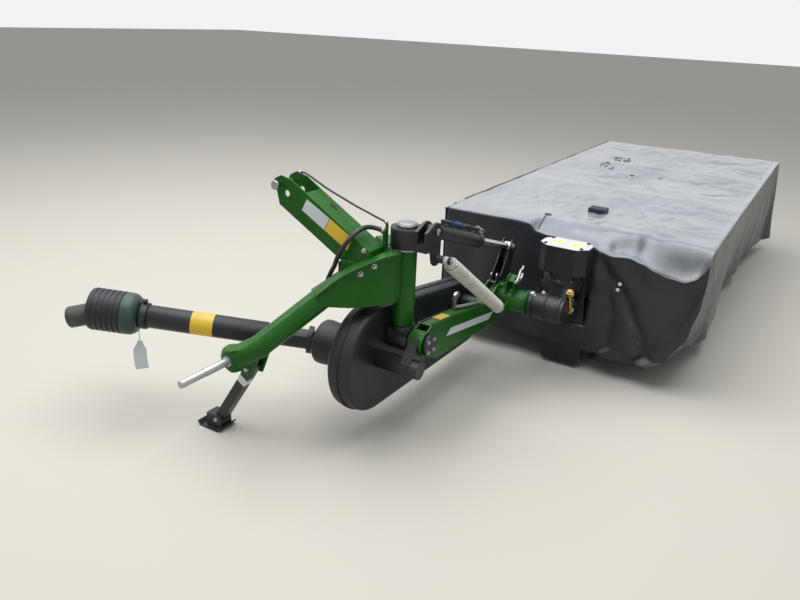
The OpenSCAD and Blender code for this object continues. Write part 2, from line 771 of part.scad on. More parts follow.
// Bed bracket: the casting on the bed pivot, with a web to the bed's end plate that carries the gearbox.
module bed_bracket() {
  bore_x1 = 420;
  color(black) placed() {
    bar_x(pivot_r, arm_x0 + 14, pivot_x1 + 6, pivot_y, pivot_z);
    bar_x(57, pivot_x1 + 5, bore_x1, pivot_y, pivot_z);
    plate_x(bed_x - 60, bed_x + 60)
      polygon([[690, 350], [780, 300], [end_y0, 262], [end_y0, web_z], [800, web_z], [750, 440]]);
    // ear of the clamp bolt
    plate_x(bore_x1 - 26, bore_x1 - 4) polygon([[704, 448], [728, 494], [752, 488], [790, 378], [764, 362], [716, 370]]);
  }
}

module gearbox() {
  tube_z = 436;
  color(grey) placed() {
    bar_z(56, web_z, 500, bed_x, gearbox_y);
    bar_z(68, web_z, web_z + 16, bed_x, gearbox_y);
    bar_z(63, 476, 490, bed_x, gearbox_y);
    bar_z(50, 499, 536, bed_x, gearbox_y);
    // tube across to the bed's end plate
    bar_y(42, gearbox_y, end_y0, bed_x, tube_z);
    bar_y(60, end_y0 - 14, end_y0, bed_x, tube_z);
  }
}

module octagon(hx, hy, cut) {
  polygon([[-hx, -hy + cut], [-hx + cut, -hy], [hx - cut, -hy], [hx, -hy + cut],
           [hx, hy - cut], [hx - cut, hy], [-hx + cut, hy], [-hx, hy - cut]]);
}

module gearbox_guard() {
  color(black) placed() translate([bed_x, gearbox_y, 0]) {
    difference() {
      translate([0, 0, 530]) linear_extrude(122) octagon(112, 75, 42);
      translate([0, 0, 520]) linear_extrude(128) octagon(108, 71, 40);
    }
    translate([0, 0, 651]) linear_extrude(7) octagon(116, 79, 44);
    // spacers down to the gearbox
    for (x = [-60, 60]) bar_z(9, 500, 650, x, 0);
  }
}

module cutter_bar() {
  x0 = bed_x - 110;
  x1 = bed_x + 110;
  color(grey) placed() difference() {
    union() {
      plate_y(bar_y0, bar_y1) polygon([[x0, 38], [x0 + 30, bar_z0], [x1 - 30, bar_z0], [x1, 38],
                                       [x1 - 30, bar_z1], [x0 + 30, bar_z1]]);
      for (i = [0:disc_count - 1]) bar_z(62, bar_z1 - 1, disc_z - 6, bed_x, disc_y0 + i * disc_pitch);
    }
    for (i = [0:disc_count - 1]) bar_z(16 + run_gap, bar_z1 - 24, disc_z, bed_x, disc_y0 + i * disc_pitch);
  }
}

// Skids under the discs and the end shoes.
module skids() {
  x0 = bed_x - 168;
  color(grey) placed() for (i = [0:disc_count - 1]) {
    y = disc_y0 + i * disc_pitch;
    plate_y(y - 105, y + 105)
      polygon([[x0, 46], [x0 + 30, 14], [x0 + 70, 0], [bed_x + 110, 0], [bed_x + 140, 12], [bed_x + 134, 18],
               [bed_x + 106, bar_z0], [bed_x - 80, bar_z0], [x0 + 74, 10], [x0 + 40, 22], [x0 + 12, 48]]);
  }
}

module bed_frame() {
  x0 = bed_x - beam_w / 2;
  x1 = bed_x + beam_w / 2;
  color(black) placed() {
    difference() {
      block([x0, bar_y0, beam_z0], [x1, bar_y1, beam_z0 + beam_w]);
      block([x0 + beam_wall, bar_y0 - 1, beam_z0 + beam_wall], [x1 - beam_wall, bar_y1 + 1, beam_z0 + beam_w - beam_wall]);
    }
    for (y = [end_y0, bar_y1])
      plate_y(y, y + end_plate_t)
        polygon([[bed_x - 95, bar_z0], [bed_x + 95, bar_z0], [bed_x + 105, 120], [x1 + 20, beam_z0 + beam_w + 20],
                 [x0 - 20, beam_z0 + beam_w + 20], [bed_x - 105, 120]]);
  }
}

// Rails that carry the cover, on posts from the main tube, and the front curtain's hinge eyes.
rail_z = cover_z - sheet_t - rail_r;
rail_in = 18;
rail_y0 = bar_y0 + 126;
rail_ys = [for (i = [0:3]) rail_y0 + i * (bar_y1 - rail_in - rail_y0) / 3];
flap_x = cover_x0 - 12;
flap_z = cover_z - 12;
eye_ys = [cover_y0 + 115, (cover_y0 + cover_y1) / 2, cover_y1 - 165];

module cover_rails() {
  color(grey) placed() {
    difference() {
      union() {
        bar_y(rail_r, cover_y0 + 7, cover_y1 - 7, cover_x0 + rail_r + 3, rail_z);
        bar_y(rail_r, cover_y0 + 30, cover_y1 - 7, cover_x1 - rail_r - 3, rail_z);
        for (y = rail_ys) bar_x(rail_r - 1, cover_x0 + rail_r, cover_x1 - rail_r, y, rail_z);
        for (y = eye_ys) {
          bar_y(10, y - 12, y + 12, flap_x, flap_z);
          block([flap_x + 7, y - 12, flap_z - 8], [cover_x0 + rail_r, y + 12, flap_z - 1]);
        }
      }
      for (y = eye_ys) bar_y(6 + run_gap, y - 20, y + 20, flap_x, flap_z);
    }
    for (y = rail_ys) bar_z(14, beam_z0 + beam_w, rail_z, bed_x, y);
  }
}

module cover_sheet() {
  color(grey) placed() block([cover_x0, cover_y0, cover_z - sheet_t], [cover_x1, cover_y1, cover_z]);
}

// Corners of the slanted panel between the inner and the rear curtain.
corner_top = [cover_x1, cover_y0, cover_z - sheet_t];
corner_front = [cover_x1 - slant, cover_y0, hem_z];
corner_rear = [cover_x1, cover_y0 + corner_reach, hem_z];

// Inner curtain, with an opening round the castings.
module inner_curtain() {
  color(grey) placed() plate_y(cover_y0, cover_y0 + sheet_t) difference() {
    polygon([[cover_x0, hem_z + 10], [corner_front[0], hem_z], [cover_x1, corner_top[2]], [cover_x0, corner_top[2]]]);
    translate([bed_x - 125, 240]) square([250, 380]);
  }
}

// Curtain outline seen along X, with the flared outer edge.
module curtain_outline(y0, z1) {
  polygon([[y0, hem_z], [y0, z1], [cover_y1 - sheet_t, z1], [cover_y1 - sheet_t + flare, hem_z]]);
}

module outer_curtain() {
  color(grey) placed() plate_x(cover_x0, cover_x1)
    polygon([[cover_y1 - sheet_t, cover_z - sheet_t], [cover_y1, cover_z - sheet_t],
             [cover_y1 + flare, hem_z], [cover_y1 - sheet_t + flare, hem_z]]);
}

// Rear curtain and the slanted panel at its inner end.
module rear_curtain() {
  lap = 4;
  normal = unit(cross(corner_front - corner_top, corner_rear - corner_top));
  tilt = acos(normal[2]);
  turn = atan2(normal[1], normal[0]);
  across = [cos(tilt) * cos(turn), cos(tilt) * sin(turn), -sin(tilt)];
  level = [-sin(turn), cos(turn), 0];
  function flat(p) = [(p - corner_top) * across, (p - corner_top) * level];
  color(grey) placed() {
    plate_x(cover_x1 - sheet_t, cover_x1) intersection() {
      curtain_outline(cover_y0 + sheet_t, corner_top[2]);
      polygon([[corner_rear[1] - lap, 0], [corner_rear[1] - lap, hem_z], [cover_y0 - lap, corner_top[2]],
               [cover_y0, 2 * cover_z], [2 * cover_y1, 2 * cover_z], [2 * cover_y1, 0]]);
    }
    intersection() {
      translate(corner_top) rotate([0, tilt, turn]) translate([0, 0, -sheet_t]) linear_extrude(sheet_t)
        polygon([flat(corner_top), flat(corner_front), flat(corner_rear)]);
      block([0, cover_y0 + sheet_t, 0], [cover_x1 - 0.5, cover_y1, corner_top[2]]);
    }
  }
}

module front_curtain() {
  color(grey) placed() {
    bar_y(6, cover_y0 + 4, cover_y1 - 10, flap_x, flap_z);
    difference() {
      plate_x(flap_x - sheet_t / 2, flap_x + sheet_t / 2) curtain_outline(cover_y0, flap_z);
      // clear of the hinge eyes
      for (y = eye_ys) block([flap_x - 20, y - 17, flap_z - 22], [flap_x + 20, y + 17, flap_z + 20]);
    }
  }
}

// Discs: every second one stands a quarter turn on, so that the blades pass between each other.
module disc(i) {
  y = disc_y0 + (i - 1) * disc_pitch;
  end_disc = i == 1 || i == disc_count;
  color(grey) placed() translate([bed_x, y, 0]) rotate([0, 0, i % 2 == 0 ? 0 : 90]) {
    bar_z(16, bar_z1 - 22, disc_z + 1, 0, 0);
    translate([0, 0, disc_z]) linear_extrude(disc_t) intersection() {
      circle(disc_r);
      square([2 * disc_r, disc_w], center = true);
    }
    translate([0, 0, disc_z + disc_t]) cylinder(r1 = 96, r2 = 62, h = 26);
    bar_z(30, disc_z + disc_t, disc_z + 44, 0, 0);
    if (end_disc) difference() {
      translate([0, 0, disc_z + disc_t]) cylinder(r1 = 118, r2 = 100, h = 170);
      translate([0, 0, disc_z + disc_t + 26]) cylinder(r1 = 111, r2 = 96, h = 140);
    }
    for (side = [-1, 1]) {
      block([min(side * 150, side * tip_r), -blade_w / 2, disc_z - blade_t], [max(side * 150, side * tip_r), blade_w / 2, disc_z]);
      bar_z(13, disc_z - blade_t - 5, disc_z + disc_t + 10, side * 166, 0);
    }
  }
}

headstock();
mast();
hitch_pins();
headstock_hose();
mast_cable();
stand_leg();
kingpin();
swivel_head();
swivel_foot();
arm_beam();
lift_lever();
guard_front();
guard_rear();
bearing_tube();
cone_cup();
input_shaft();
shaft_knuckle();
shaft_inner_guard();
shaft_outer_guard();
shaft_cone();
shaft_yoke();
lift_barrel();
lift_rod();
spring_coil();
spring_rod();
bed_bracket();
gearbox();
gearbox_guard();
cutter_bar();
skids();
bed_frame();
cover_rails();
cover_sheet();
inner_curtain();
outer_curtain();
rear_curtain();
front_curtain();
disc(1);  // disc_1
disc(2);  // disc_2
disc(3);  // disc_3
disc(4);  // disc_4
disc(5);  // disc_5
disc(6);  // disc_6
disc(7);  // disc_7
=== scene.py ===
import logging
import math
import random
from abc import ABC, abstractmethod
from dataclasses import dataclass
from enum import Enum

import bmesh
import bpy
from mathutils import Matrix, Vector, noise


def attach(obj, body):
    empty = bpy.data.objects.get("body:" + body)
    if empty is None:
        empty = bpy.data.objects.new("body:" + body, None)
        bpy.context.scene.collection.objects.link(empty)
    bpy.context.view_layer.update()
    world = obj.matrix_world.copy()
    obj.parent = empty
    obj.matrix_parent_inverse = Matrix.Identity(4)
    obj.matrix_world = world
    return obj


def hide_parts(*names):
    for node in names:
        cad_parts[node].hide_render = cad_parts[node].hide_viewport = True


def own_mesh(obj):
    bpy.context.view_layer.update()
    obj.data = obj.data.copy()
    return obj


Pair = tuple[float, float]
Triple = tuple[float, float, float]
Colour = tuple[float, float, float, float]
Table = tuple[Pair, ...]
Tree = bpy.types.NodeTree
Socket = bpy.types.NodeSocket
Inputs = dict[object, object]

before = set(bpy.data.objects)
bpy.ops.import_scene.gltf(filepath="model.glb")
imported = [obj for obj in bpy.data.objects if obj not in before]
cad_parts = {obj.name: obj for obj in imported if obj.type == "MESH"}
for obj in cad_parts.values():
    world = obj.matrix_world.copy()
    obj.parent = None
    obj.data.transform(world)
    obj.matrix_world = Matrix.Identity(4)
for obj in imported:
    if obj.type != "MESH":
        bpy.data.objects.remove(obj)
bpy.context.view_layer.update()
LOG = logging.getLogger("disc_mower")
KINGPIN = Vector((0.1467, -1.6032, 0.0))
X_AXIS = Vector((1, 0, 0))
Y_AXIS = Vector((0, 1, 0))
Z_AXIS = Vector((0, 0, 1))
SEED = 7
HINGE = (0.0, 420.0)
PIVOT = (710.0, 400.0)
LIFT_EYE = (800.0, 617.0)
LINK_PIN_X = -426.0
HITCH_Y = -110.0
HITCH_Z = 400.0
HITCH_HALF = 412.5
FRONT_RAIL = -320.0
REAR_RAIL = 921.0
CROSS_RAILS = (1128.0, 2015.3, 2902.7, 3790.0)
BAR_X = -352.0
BAR_Z = 688.0
BEVEL_ANGLE = math.radians(32)
FLAT_ANGLE = math.radians(1.0)
MERGE_DISTANCE = 0.00005
EDGE_REACH = 0.01


def at(x: float, y: float, z: float) -> Vector:
    """Gives a place on the machine in row-frame metres.

    Args:
        x: millimetres to the rear of the kingpin's axis.
        y: millimetres to the right of the kingpin's axis.
        z: millimetres above the floor.

    Returns:
        The place as a vector in metres.
    """
    return KINGPIN + Vector((x, y, z)) * 0.001


def lerp(a: float, b: float, t: float) -> float:
    """Returns the value t of the way from a to b."""
    return a + (b - a) * t


def smooth(t: float) -> float:
    """Returns t eased at both ends, held from 0 to 1."""
    t = min(1.0, max(0.0, t))
    return t * t * (3 - 2 * t)


def table_value(table: Table, x: float) -> float:
    """Reads a value between the rows of a table of (place, value).

    Args:
        table: rows of place and value, in rising order of place.
        x: the place to read at.

    Returns:
        The value, blended smoothly between its two rows.
    """
    if x <= table[0][0]:
        return table[0][1]
    for (x0, v0), (x1, v1) in zip(table, table[1:]):
        if x <= x1:
            return lerp(v0, v1, smooth((x - x0) / (x1 - x0)))
    return table[-1][1]


def turn_angles(count: int) -> list[float]:
    """Returns the angles that part a full turn into count steps."""
    return [2 * math.pi * i / count for i in range(count)]


def frame_along(axis: Vector, hint: Vector = Z_AXIS) -> tuple[Vector, Vector, Vector]:
    """Gives three directions at right angles, the last along axis.

    Args:
        axis: the main direction.
        hint: a direction that the second one leans towards.

    Returns:
        Two cross directions and the unit axis.
    """
    w = axis.normalized()
    if abs(w.dot(hint)) > 0.98:
        hint = X_AXIS if abs(w.dot(X_AXIS)) < 0.9 else Y_AXIS
    u = hint.cross(w).normalized()
    return u, w.cross(u), w


# Finishes

GREY = (0.5, 0.5, 0.5, 1.0)


class Effect(Enum):
    """Shader node groups that more than one finish uses."""

    MOTTLE = "uneven_colour"
    DUST = "settled_dust"
    SCRATCH = "fine_scratches"
    GRAIN = "fine_grain"
    WEAVE = "coated_weave"


class Group:
    """One shader node group with named inputs and outputs."""

    def __init__(self, effect: Effect, inputs: dict[str, object], outputs: tuple[str, ...]) -> None:
        """Starts the group with its sockets and end nodes.

        Args:
            effect: the effect that the group holds.
            inputs: what each input holds where nothing feeds it, a colour or a number.
            outputs: names of the outputs; Color gives a colour and the others a number.
        """
        self.tree = bpy.data.node_groups.new(effect.value, "ShaderNodeTree")
        sockets = self.tree.interface
        for name, value in inputs.items():
            kind = "NodeSocketFloat" if isinstance(value, float) else "NodeSocketColor"
            sockets.new_socket(name, in_out="INPUT", socket_type=kind).default_value = value
        for name in outputs:
            kind = "NodeSocketColor" if name == "Color" else "NodeSocketFloat"
            sockets.new_socket(name, in_out="OUTPUT", socket_type=kind)
        self.given = self.tree.nodes.new("NodeGroupInput").outputs
        self.sink = self.tree.nodes.new("NodeGroupOutput")

    def add(self, kind: str, inputs: Inputs | None = None, **settings: object) -> bpy.types.Node:
        """Adds a node, as add_node does."""
        return add_node(self.tree, kind, inputs, **settings)

    def give(self, **outputs: Socket) -> None:
        """Joins sockets to the group's outputs by name."""
        for name, socket in outputs.items():
            self.tree.links.new(socket, self.sink.inputs[name])


def add_node(tree: Tree, kind: str, inputs: Inputs | None = None, **settings: object) -> bpy.types.Node:
    """Adds a shader node and fills its inputs.

    Args:
        tree: the node tree.
        kind: the node's type without its ShaderNode prefix.
        inputs: values or sockets by input name or number.
        settings: properties of the node.

    Returns:
        The node.
    """
    node = tree.nodes.new("ShaderNode" + kind)
    for name, value in settings.items():
        setattr(node, name, value)
    for key, value in (inputs or {}).items():
        if isinstance(value, Socket):
            tree.links.new(value, node.inputs[key])
        else:
            node.inputs[key].default_value = value
    return node


def ramp(tree: Tree, value: Socket, low: float, high: float) -> Socket:
    """Spreads a value so that low becomes 0 and high becomes 1, held between them.

    Args:
        tree: the node tree.
        value: the socket that gives the value.
        low: what becomes 0.
        high: what becomes 1.

    Returns:
        The spread value's socket.
    """
    node = add_node(tree, "MapRange", {"Value": value, "From Min": low, "From Max": high}, clamp=True)
    return node.outputs["Result"]


def mix(tree: Tree, factor: object, a: object, b: object) -> Socket:
    """Mixes two colours.

    Args:
        tree: the node tree.
        factor: the share of b, a number or a socket.
        a: the first colour.
        b: the second colour.

    Returns:
        The mixed colour's socket.
    """
    node = add_node(tree, "Mix", {0: factor, 6: a, 7: b}, data_type="RGBA")
    return node.outputs[2]


def times(tree: Tree, a: object, b: object) -> Socket:
    """Returns the product of two values."""
    return add_node(tree, "Math", {0: a, 1: b}, operation="MULTIPLY").outputs[0]


def build_mottle() -> Tree:
    """Builds the group for colour that varies softly over a surface.

    Returns:
        The group's node tree.
    """
    group = Group(Effect.MOTTLE, {"Color": GREY, "Tint": GREY, "Scale": 6.0, "Amount": 0.5},
                  ("Color", "Mask"))
    tree, given = group.tree, group.given
    place = group.add("TexCoord").outputs["Object"]
    wide = group.add("TexNoise", {"Vector": place, "Scale": given["Scale"], "Detail": 6.0, "Roughness": 0.62})
    mask = ramp(tree, wide.outputs["Fac"], 0.36, 0.66)
    part = times(tree, mask, given["Amount"])
    group.give(Color=mix(tree, part, given["Color"], given["Tint"]), Mask=mask)
    return tree


def build_dust() -> Tree:
    """Builds the group for dust that has settled on what faces up.

    Returns:
        The group's node tree.
    """
    group = Group(Effect.DUST, {"Color": GREY, "Dust": GREY, "Amount": 0.4, "Scale": 9.0}, ("Color", "Mask"))
    tree, given = group.tree, group.given
    up = group.add("SeparateXYZ", {"Vector": group.add("NewGeometry").outputs["Normal"]}).outputs["Z"]
    facing = ramp(tree, up, 0.25, 0.95)
    place = group.add("TexCoord").outputs["Object"]
    cloud = group.add("TexNoise", {"Vector": place, "Scale": given["Scale"], "Detail": 8.0,
                                   "Roughness": 0.68})
    patchy = ramp(tree, cloud.outputs["Fac"], 0.3, 0.7)
    settled = times(tree, times(tree, facing, patchy), given["Amount"])
    group.give(Color=mix(tree, settled, given["Color"], given["Dust"]), Mask=settled)
    return tree


def build_scratches() -> Tree:
    """Builds the group for thin scratches and small chips.

    Returns:
        The group's node tree.
    """
    group = Group(Effect.SCRATCH, {"Color": GREY, "Bare": GREY, "Scale": 30.0, "Amount": 0.5},
                  ("Color", "Mask"))
    tree, given = group.tree, group.given
    place = group.add("TexCoord").outputs["Object"]
    stretched = group.add("Mapping", {"Vector": place, "Rotation": (0.4, 0.7, 0.3), "Scale": (1.0, 7.0, 1.6)})
    lines = group.add("TexNoise", {"Vector": stretched.outputs["Vector"], "Scale": given["Scale"],
                                   "Detail": 3.0, "Roughness": 0.5})
    chips = group.add("TexVoronoi", {"Vector": place, "Scale": times(tree, given["Scale"], 0.8)},
                      feature="F1")
    line = ramp(tree, lines.outputs["Fac"], 0.71, 0.74)
    chip = ramp(tree, chips.outputs["Distance"], 0.085, 0.06)
    both = group.add("Math", {0: line, 1: chip}, operation="MAXIMUM").outputs[0]
    mask = times(tree, both, given["Amount"])
    group.give(Color=mix(tree, mask, given["Color"], given["Bare"]), Mask=mask)
    return tree


def build_grain() -> Tree:
    """Builds the group for the fine unevenness of paint, plastic and cast iron.

    Returns:
        The group's node tree.
    """
    group = Group(Effect.GRAIN, {"Scale": 300.0, "Wave": 12.0}, ("Height",))
    given = group.given
    place = group.add("TexCoord").outputs["Object"]
    fine = group.add("TexNoise", {"Vector": place, "Scale": given["Scale"], "Detail": 4.0})
    wide = group.add("TexNoise", {"Vector": place, "Scale": given["Wave"], "Detail": 3.0})
    total = group.add("Math", {0: fine.outputs["Fac"], 1: wide.outputs["Fac"]}, operation="ADD").outputs[0]
    group.give(Height=total)
    return group.tree


def build_weave() -> Tree:
    """Builds the group for the woven threads under the cover's coating.

    Returns:
        The group's node tree.
    """
    group = Group(Effect.WEAVE, {"Threads": 420.0, "Creases": 5.0}, ("Height", "Mask"))
    tree, given = group.tree, group.given
    place = group.add("TexCoord").outputs["Object"]
    threads = []
    for way in ("X", "Y", "Z"):
        wave = group.add("TexWave", {"Vector": place, "Scale": given["Threads"]}, bands_direction=way)
        threads.append(wave.outputs["Fac"])
    cloth = group.add("Math", {0: threads[0], 1: threads[1]}, operation="MAXIMUM").outputs[0]
    cloth = group.add("Math", {0: cloth, 1: threads[2]}, operation="MAXIMUM").outputs[0]
    stretched = group.add("Mapping", {"Vector": place, "Rotation": (0.2, 0.1, 0.9), "Scale": (1.0, 2.6, 1.0)})
    crease = group.add("TexNoise", {"Vector": stretched.outputs["Vector"], "Scale": given["Creases"],
                                    "Detail": 7.0, "Roughness": 0.6, "Distortion": 0.6})
    mask = ramp(tree, crease.outputs["Fac"], 0.35, 0.7)
    height = group.add("Math", {0: times(tree, cloth, 0.12), 1: mask}, operation="ADD").outputs[0]
    group.give(Height=height, Mask=mask)
    return tree


EFFECT_BUILDERS = {
    Effect.MOTTLE: build_mottle,
    Effect.DUST: build_dust,
    Effect.SCRATCH: build_scratches,
    Effect.GRAIN: build_grain,
    Effect.WEAVE: build_weave,
}
effect_trees: dict[Effect, Tree] = {}


def place_effect(tree: Tree, effect: Effect, **inputs: object) -> bpy.types.Node:
    """Places a shared effect in a material, and builds its group the first time.

    Args:
        tree: the material's node tree.
        effect: the effect to place.
        inputs: values or sockets by input name.

    Returns:
        The group node.
    """
    if effect not in effect_trees:
        effect_trees[effect] = EFFECT_BUILDERS[effect]()
    node = tree.nodes.new("ShaderNodeGroup")
    node.node_tree = effect_trees[effect]
    for name, value in inputs.items():
        if isinstance(value, Socket):
            tree.links.new(value, node.inputs[name])
        else:
            node.inputs[name].default_value = value
    return node


def rgb(red: int, green: int, blue: int) -> Colour:
    """Turns a colour as a screen shows it into linear light.

    Args:
        red: the red share, 0 to 255.
        green: the green share, 0 to 255.
        blue: the blue share, 0 to 255.

    Returns:
        The colour with full alpha.
    """
    def light(value: int) -> float:
        """Returns one channel in linear light."""
        value = value / 255
        return value / 12.92 if value <= 0.04045 else ((value + 0.055) / 1.055) ** 2.4
    return light(red), light(green), light(blue), 1.0


@dataclass(frozen=True)
class Surface(ABC):
    """What a piece is finished with: its material's name and colours, and the slot of the CAD part."""

    name: str
    colour: Colour
    tint: Colour
    slot: str

    def material(self) -> bpy.types.Material:
        """Builds the material the first time that it is asked for.

        Returns:
            The material.
        """
        made = bpy.data.materials.get(self.name)
        if made:
            return made
        made = bpy.data.materials.new(self.name)
        made.use_nodes = True
        made.node_tree.nodes.clear()
        self.fill(made.node_tree)
        return made

    @abstractmethod
    def fill(self, tree: Tree) -> None:
        """Adds the material's nodes."""


@dataclass(frozen=True)
class Finish(Surface):
    """A hard surface finish built from the shared effects."""

    mottle: float = 0.5
    mottle_scale: float = 7.0
    dust: float = 0.35
    dust_colour: Colour = (0.30, 0.28, 0.24, 1.0)
    scratch: float = 0.25
    bare: Colour = (0.25, 0.23, 0.20, 1.0)
    metal: float = 0.0
    rough: float = 0.4
    rough_spread: float = 0.15
    coat: float = 0.0
    specular: float = 0.5
    grain: float = 0.15
    grain_scale: float = 260.0

    def fill(self, tree: Tree) -> None:
        """Adds uneven colour, scratches, dust and grain.

        Args:
            tree: the material's empty node tree.
        """
        mottle = place_effect(tree, Effect.MOTTLE, Color=self.colour, Tint=self.tint, Scale=self.mottle_scale,
                              Amount=self.mottle)
        scratch = place_effect(tree, Effect.SCRATCH, Color=mottle.outputs["Color"], Bare=self.bare,
                               Amount=self.scratch)
        dust = place_effect(tree, Effect.DUST, Color=scratch.outputs["Color"], Dust=self.dust_colour,
                            Amount=self.dust)
        worn = add_node(tree, "Math", {0: dust.outputs["Mask"], 1: scratch.outputs["Mask"]},
                        operation="MAXIMUM")
        half = self.rough_spread / 2
        spread = add_node(tree, "MapRange", {"Value": mottle.outputs["Mask"], "To Min": self.rough - half,
                                             "To Max": self.rough + half})
        rough = add_node(tree, "Math", {0: times(tree, worn.outputs[0], 0.5), 1: spread.outputs["Result"]},
                         operation="ADD", use_clamp=True)
        grain = place_effect(tree, Effect.GRAIN, Scale=self.grain_scale)
        bump = add_node(tree, "Bump", {"Height": grain.outputs["Height"], "Strength": self.grain,
                                       "Distance": 0.001})
        shader = add_node(tree, "BsdfPrincipled", {
            "Base Color": dust.outputs["Color"], "Roughness": rough.outputs[0],
            "Normal": bump.outputs["Normal"], "Metallic": self.metal, "Specular IOR Level": self.specular,
            "Coat Weight": self.coat, "Coat Roughness": 0.12})
        add_node(tree, "OutputMaterial", {"Surface": shader.outputs["BSDF"]})


@dataclass(frozen=True)
class ClothFinish(Surface):
    """Coated cover cloth, pale on its top from a painted sky reflection and some dust."""

    # top and its tint: the pale colour of upward faces, a painted sky reflection with some dust
    top: Colour
    painted_sheen_tint: Colour
    soil: Colour

    def fill(self, tree: Tree) -> None:
        """Adds the weave, the colours of the sides and the top, the soil and the coat; the pale top colour is
        a painted sky reflection with some dust.

        Args:
            tree: the material's empty node tree.
        """
        weave = place_effect(tree, Effect.WEAVE)
        mottle = place_effect(tree, Effect.MOTTLE, Color=self.colour, Tint=self.tint, Scale=3.0, Amount=0.8)
        normal = add_node(tree, "NewGeometry").outputs["Normal"]
        # the up-facing mask blends in the pale top colour: painted sky reflection, partly dust
        facing = ramp(tree, add_node(tree, "SeparateXYZ", {"Vector": normal}).outputs["Z"], 0.3, 0.96)
        cloud = place_effect(tree, Effect.MOTTLE, Color=self.top, Tint=self.painted_sheen_tint, Scale=2.2, Amount=0.8)
        sheen_and_dust_colour = mix(tree, facing, mottle.outputs["Color"], cloud.outputs["Color"])
        soiled = place_effect(tree, Effect.SCRATCH, Color=sheen_and_dust_colour, Bare=self.soil, Scale=9.0, Amount=0.25)
        rough = add_node(tree, "MapRange", {"Value": weave.outputs["Mask"], "To Min": 0.26, "To Max": 0.40})
        bump = add_node(tree, "Bump", {"Height": weave.outputs["Height"], "Strength": 0.3,
                                       "Distance": 0.0025})
        shader = add_node(tree, "BsdfPrincipled", {
            "Base Color": soiled.outputs["Color"], "Roughness": rough.outputs["Result"],
            "Normal": bump.outputs["Normal"], "Sheen Weight": 0.05, "Sheen Roughness": 0.4,
            "Coat Roughness": 0.2, "Specular IOR Level": 0.3, "Coat Weight": times(tree, facing, 0.9)})
        add_node(tree, "OutputMaterial", {"Surface": shader.outputs["BSDF"]})


GREEN = Finish("green_machine_paint", rgb(23, 90, 13), rgb(15, 71, 9), "green_paint", mottle=0.6, dust=0.14,
               dust_colour=rgb(112, 146, 98), scratch=0.25, bare=rgb(58, 72, 40), rough=0.32, coat=0.05,
               specular=0.22, grain=0.12)
BLACK_PAINT = Finish("black_machine_paint", rgb(22, 25, 30), rgb(31, 34, 39), "black_paint", mottle=0.6,
                     dust=0.16, dust_colour=rgb(92, 94, 96), scratch=0.25, bare=rgb(78, 76, 72), rough=0.4,
                     coat=0.05, specular=0.4)
BLACK_PLASTIC = Finish("black_guard_plastic", rgb(20, 24, 29), rgb(29, 33, 38), "black_plastic", mottle=0.7,
                       mottle_scale=4.0, dust=0.2, dust_colour=rgb(92, 97, 102), scratch=0.18,
                       bare=rgb(70, 74, 78), rough=0.44, specular=0.4, grain=0.3, grain_scale=420.0)
STEEL = Finish("bright_steel", rgb(178, 178, 180), rgb(140, 138, 134), "bare_steel", mottle=0.6, dust=0.12,
               scratch=0.4, bare=rgb(110, 98, 84), metal=1.0, rough=0.34, grain=0.1)
ROD_STEEL = Finish("polished_rod_steel", rgb(200, 201, 204), rgb(176, 176, 178), "bare_steel", mottle=0.4,
                   dust=0.05, scratch=0.15, bare=rgb(140, 136, 130), metal=1.0, rough=0.18, grain=0.04)
BRASS = Finish("yellow_passivated_steel", rgb(176, 150, 84), rgb(140, 116, 66), "bare_steel", mottle=0.6,
               dust=0.1, scratch=0.3, bare=rgb(110, 98, 70), metal=0.9, rough=0.36)
SPRING = Finish("spring_paint", rgb(196, 196, 188), rgb(168, 166, 156), "spring_steel", mottle=0.7,
                mottle_scale=18.0, dust=0.15, scratch=0.4, bare=rgb(120, 104, 84), rough=0.42, coat=0.1)
IRON = Finish("dark_cast_iron", rgb(56, 58, 60), rgb(40, 41, 43), "grey_iron", mottle=0.8, mottle_scale=11.0,
              dust=0.4, scratch=0.3, bare=rgb(92, 78, 64), rough=0.6, grain=0.5, grain_scale=200.0)
CUT_STEEL = Finish("worn_disc_steel", rgb(74, 70, 64), rgb(58, 50, 42), "grey_iron", mottle=0.8,
                   mottle_scale=14.0, dust=0.25, scratch=0.7, bare=rgb(128, 122, 114), metal=0.6, rough=0.5)
HOSE = Finish("hose_rubber", rgb(24, 25, 27), rgb(34, 35, 37), "black_plastic", mottle=0.5, mottle_scale=20.0,
              dust=0.3, scratch=0.1, bare=rgb(70, 70, 70), rough=0.5, grain=0.2, grain_scale=600.0)
BLUE = Finish("blue_cap_plastic", rgb(28, 62, 120), rgb(20, 48, 98), "black_plastic", mottle=0.4, dust=0.15,
              scratch=0.2, bare=rgb(90, 110, 140), rough=0.4)
RING_GREEN = Finish("dark_green_plastic", rgb(26, 60, 55), rgb(20, 48, 44), "black_plastic", mottle=0.4,
                    dust=0.2, scratch=0.2, bare=rgb(80, 100, 96), rough=0.42)
WHITE_LABEL = Finish("white_film", rgb(206, 212, 218), rgb(186, 190, 194), "black_plastic", mottle=0.5,
                     dust=0.2, dust_colour=rgb(150, 146, 136), scratch=0.2, bare=rgb(120, 120, 116),
                     rough=0.32)
YELLOW_LABEL = Finish("yellow_film", rgb(222, 186, 40), rgb(196, 160, 36), "black_plastic", mottle=0.5,
                      dust=0.2, dust_colour=rgb(150, 146, 136), scratch=0.25, bare=rgb(130, 116, 70),
                      rough=0.34)
MUD = Finish("dried_mud", rgb(96, 98, 78), rgb(70, 72, 58), "cover_cloth", mottle=0.8, mottle_scale=40.0,
             dust=0.0, scratch=0.0, rough=0.8, grain=0.6, grain_scale=300.0)
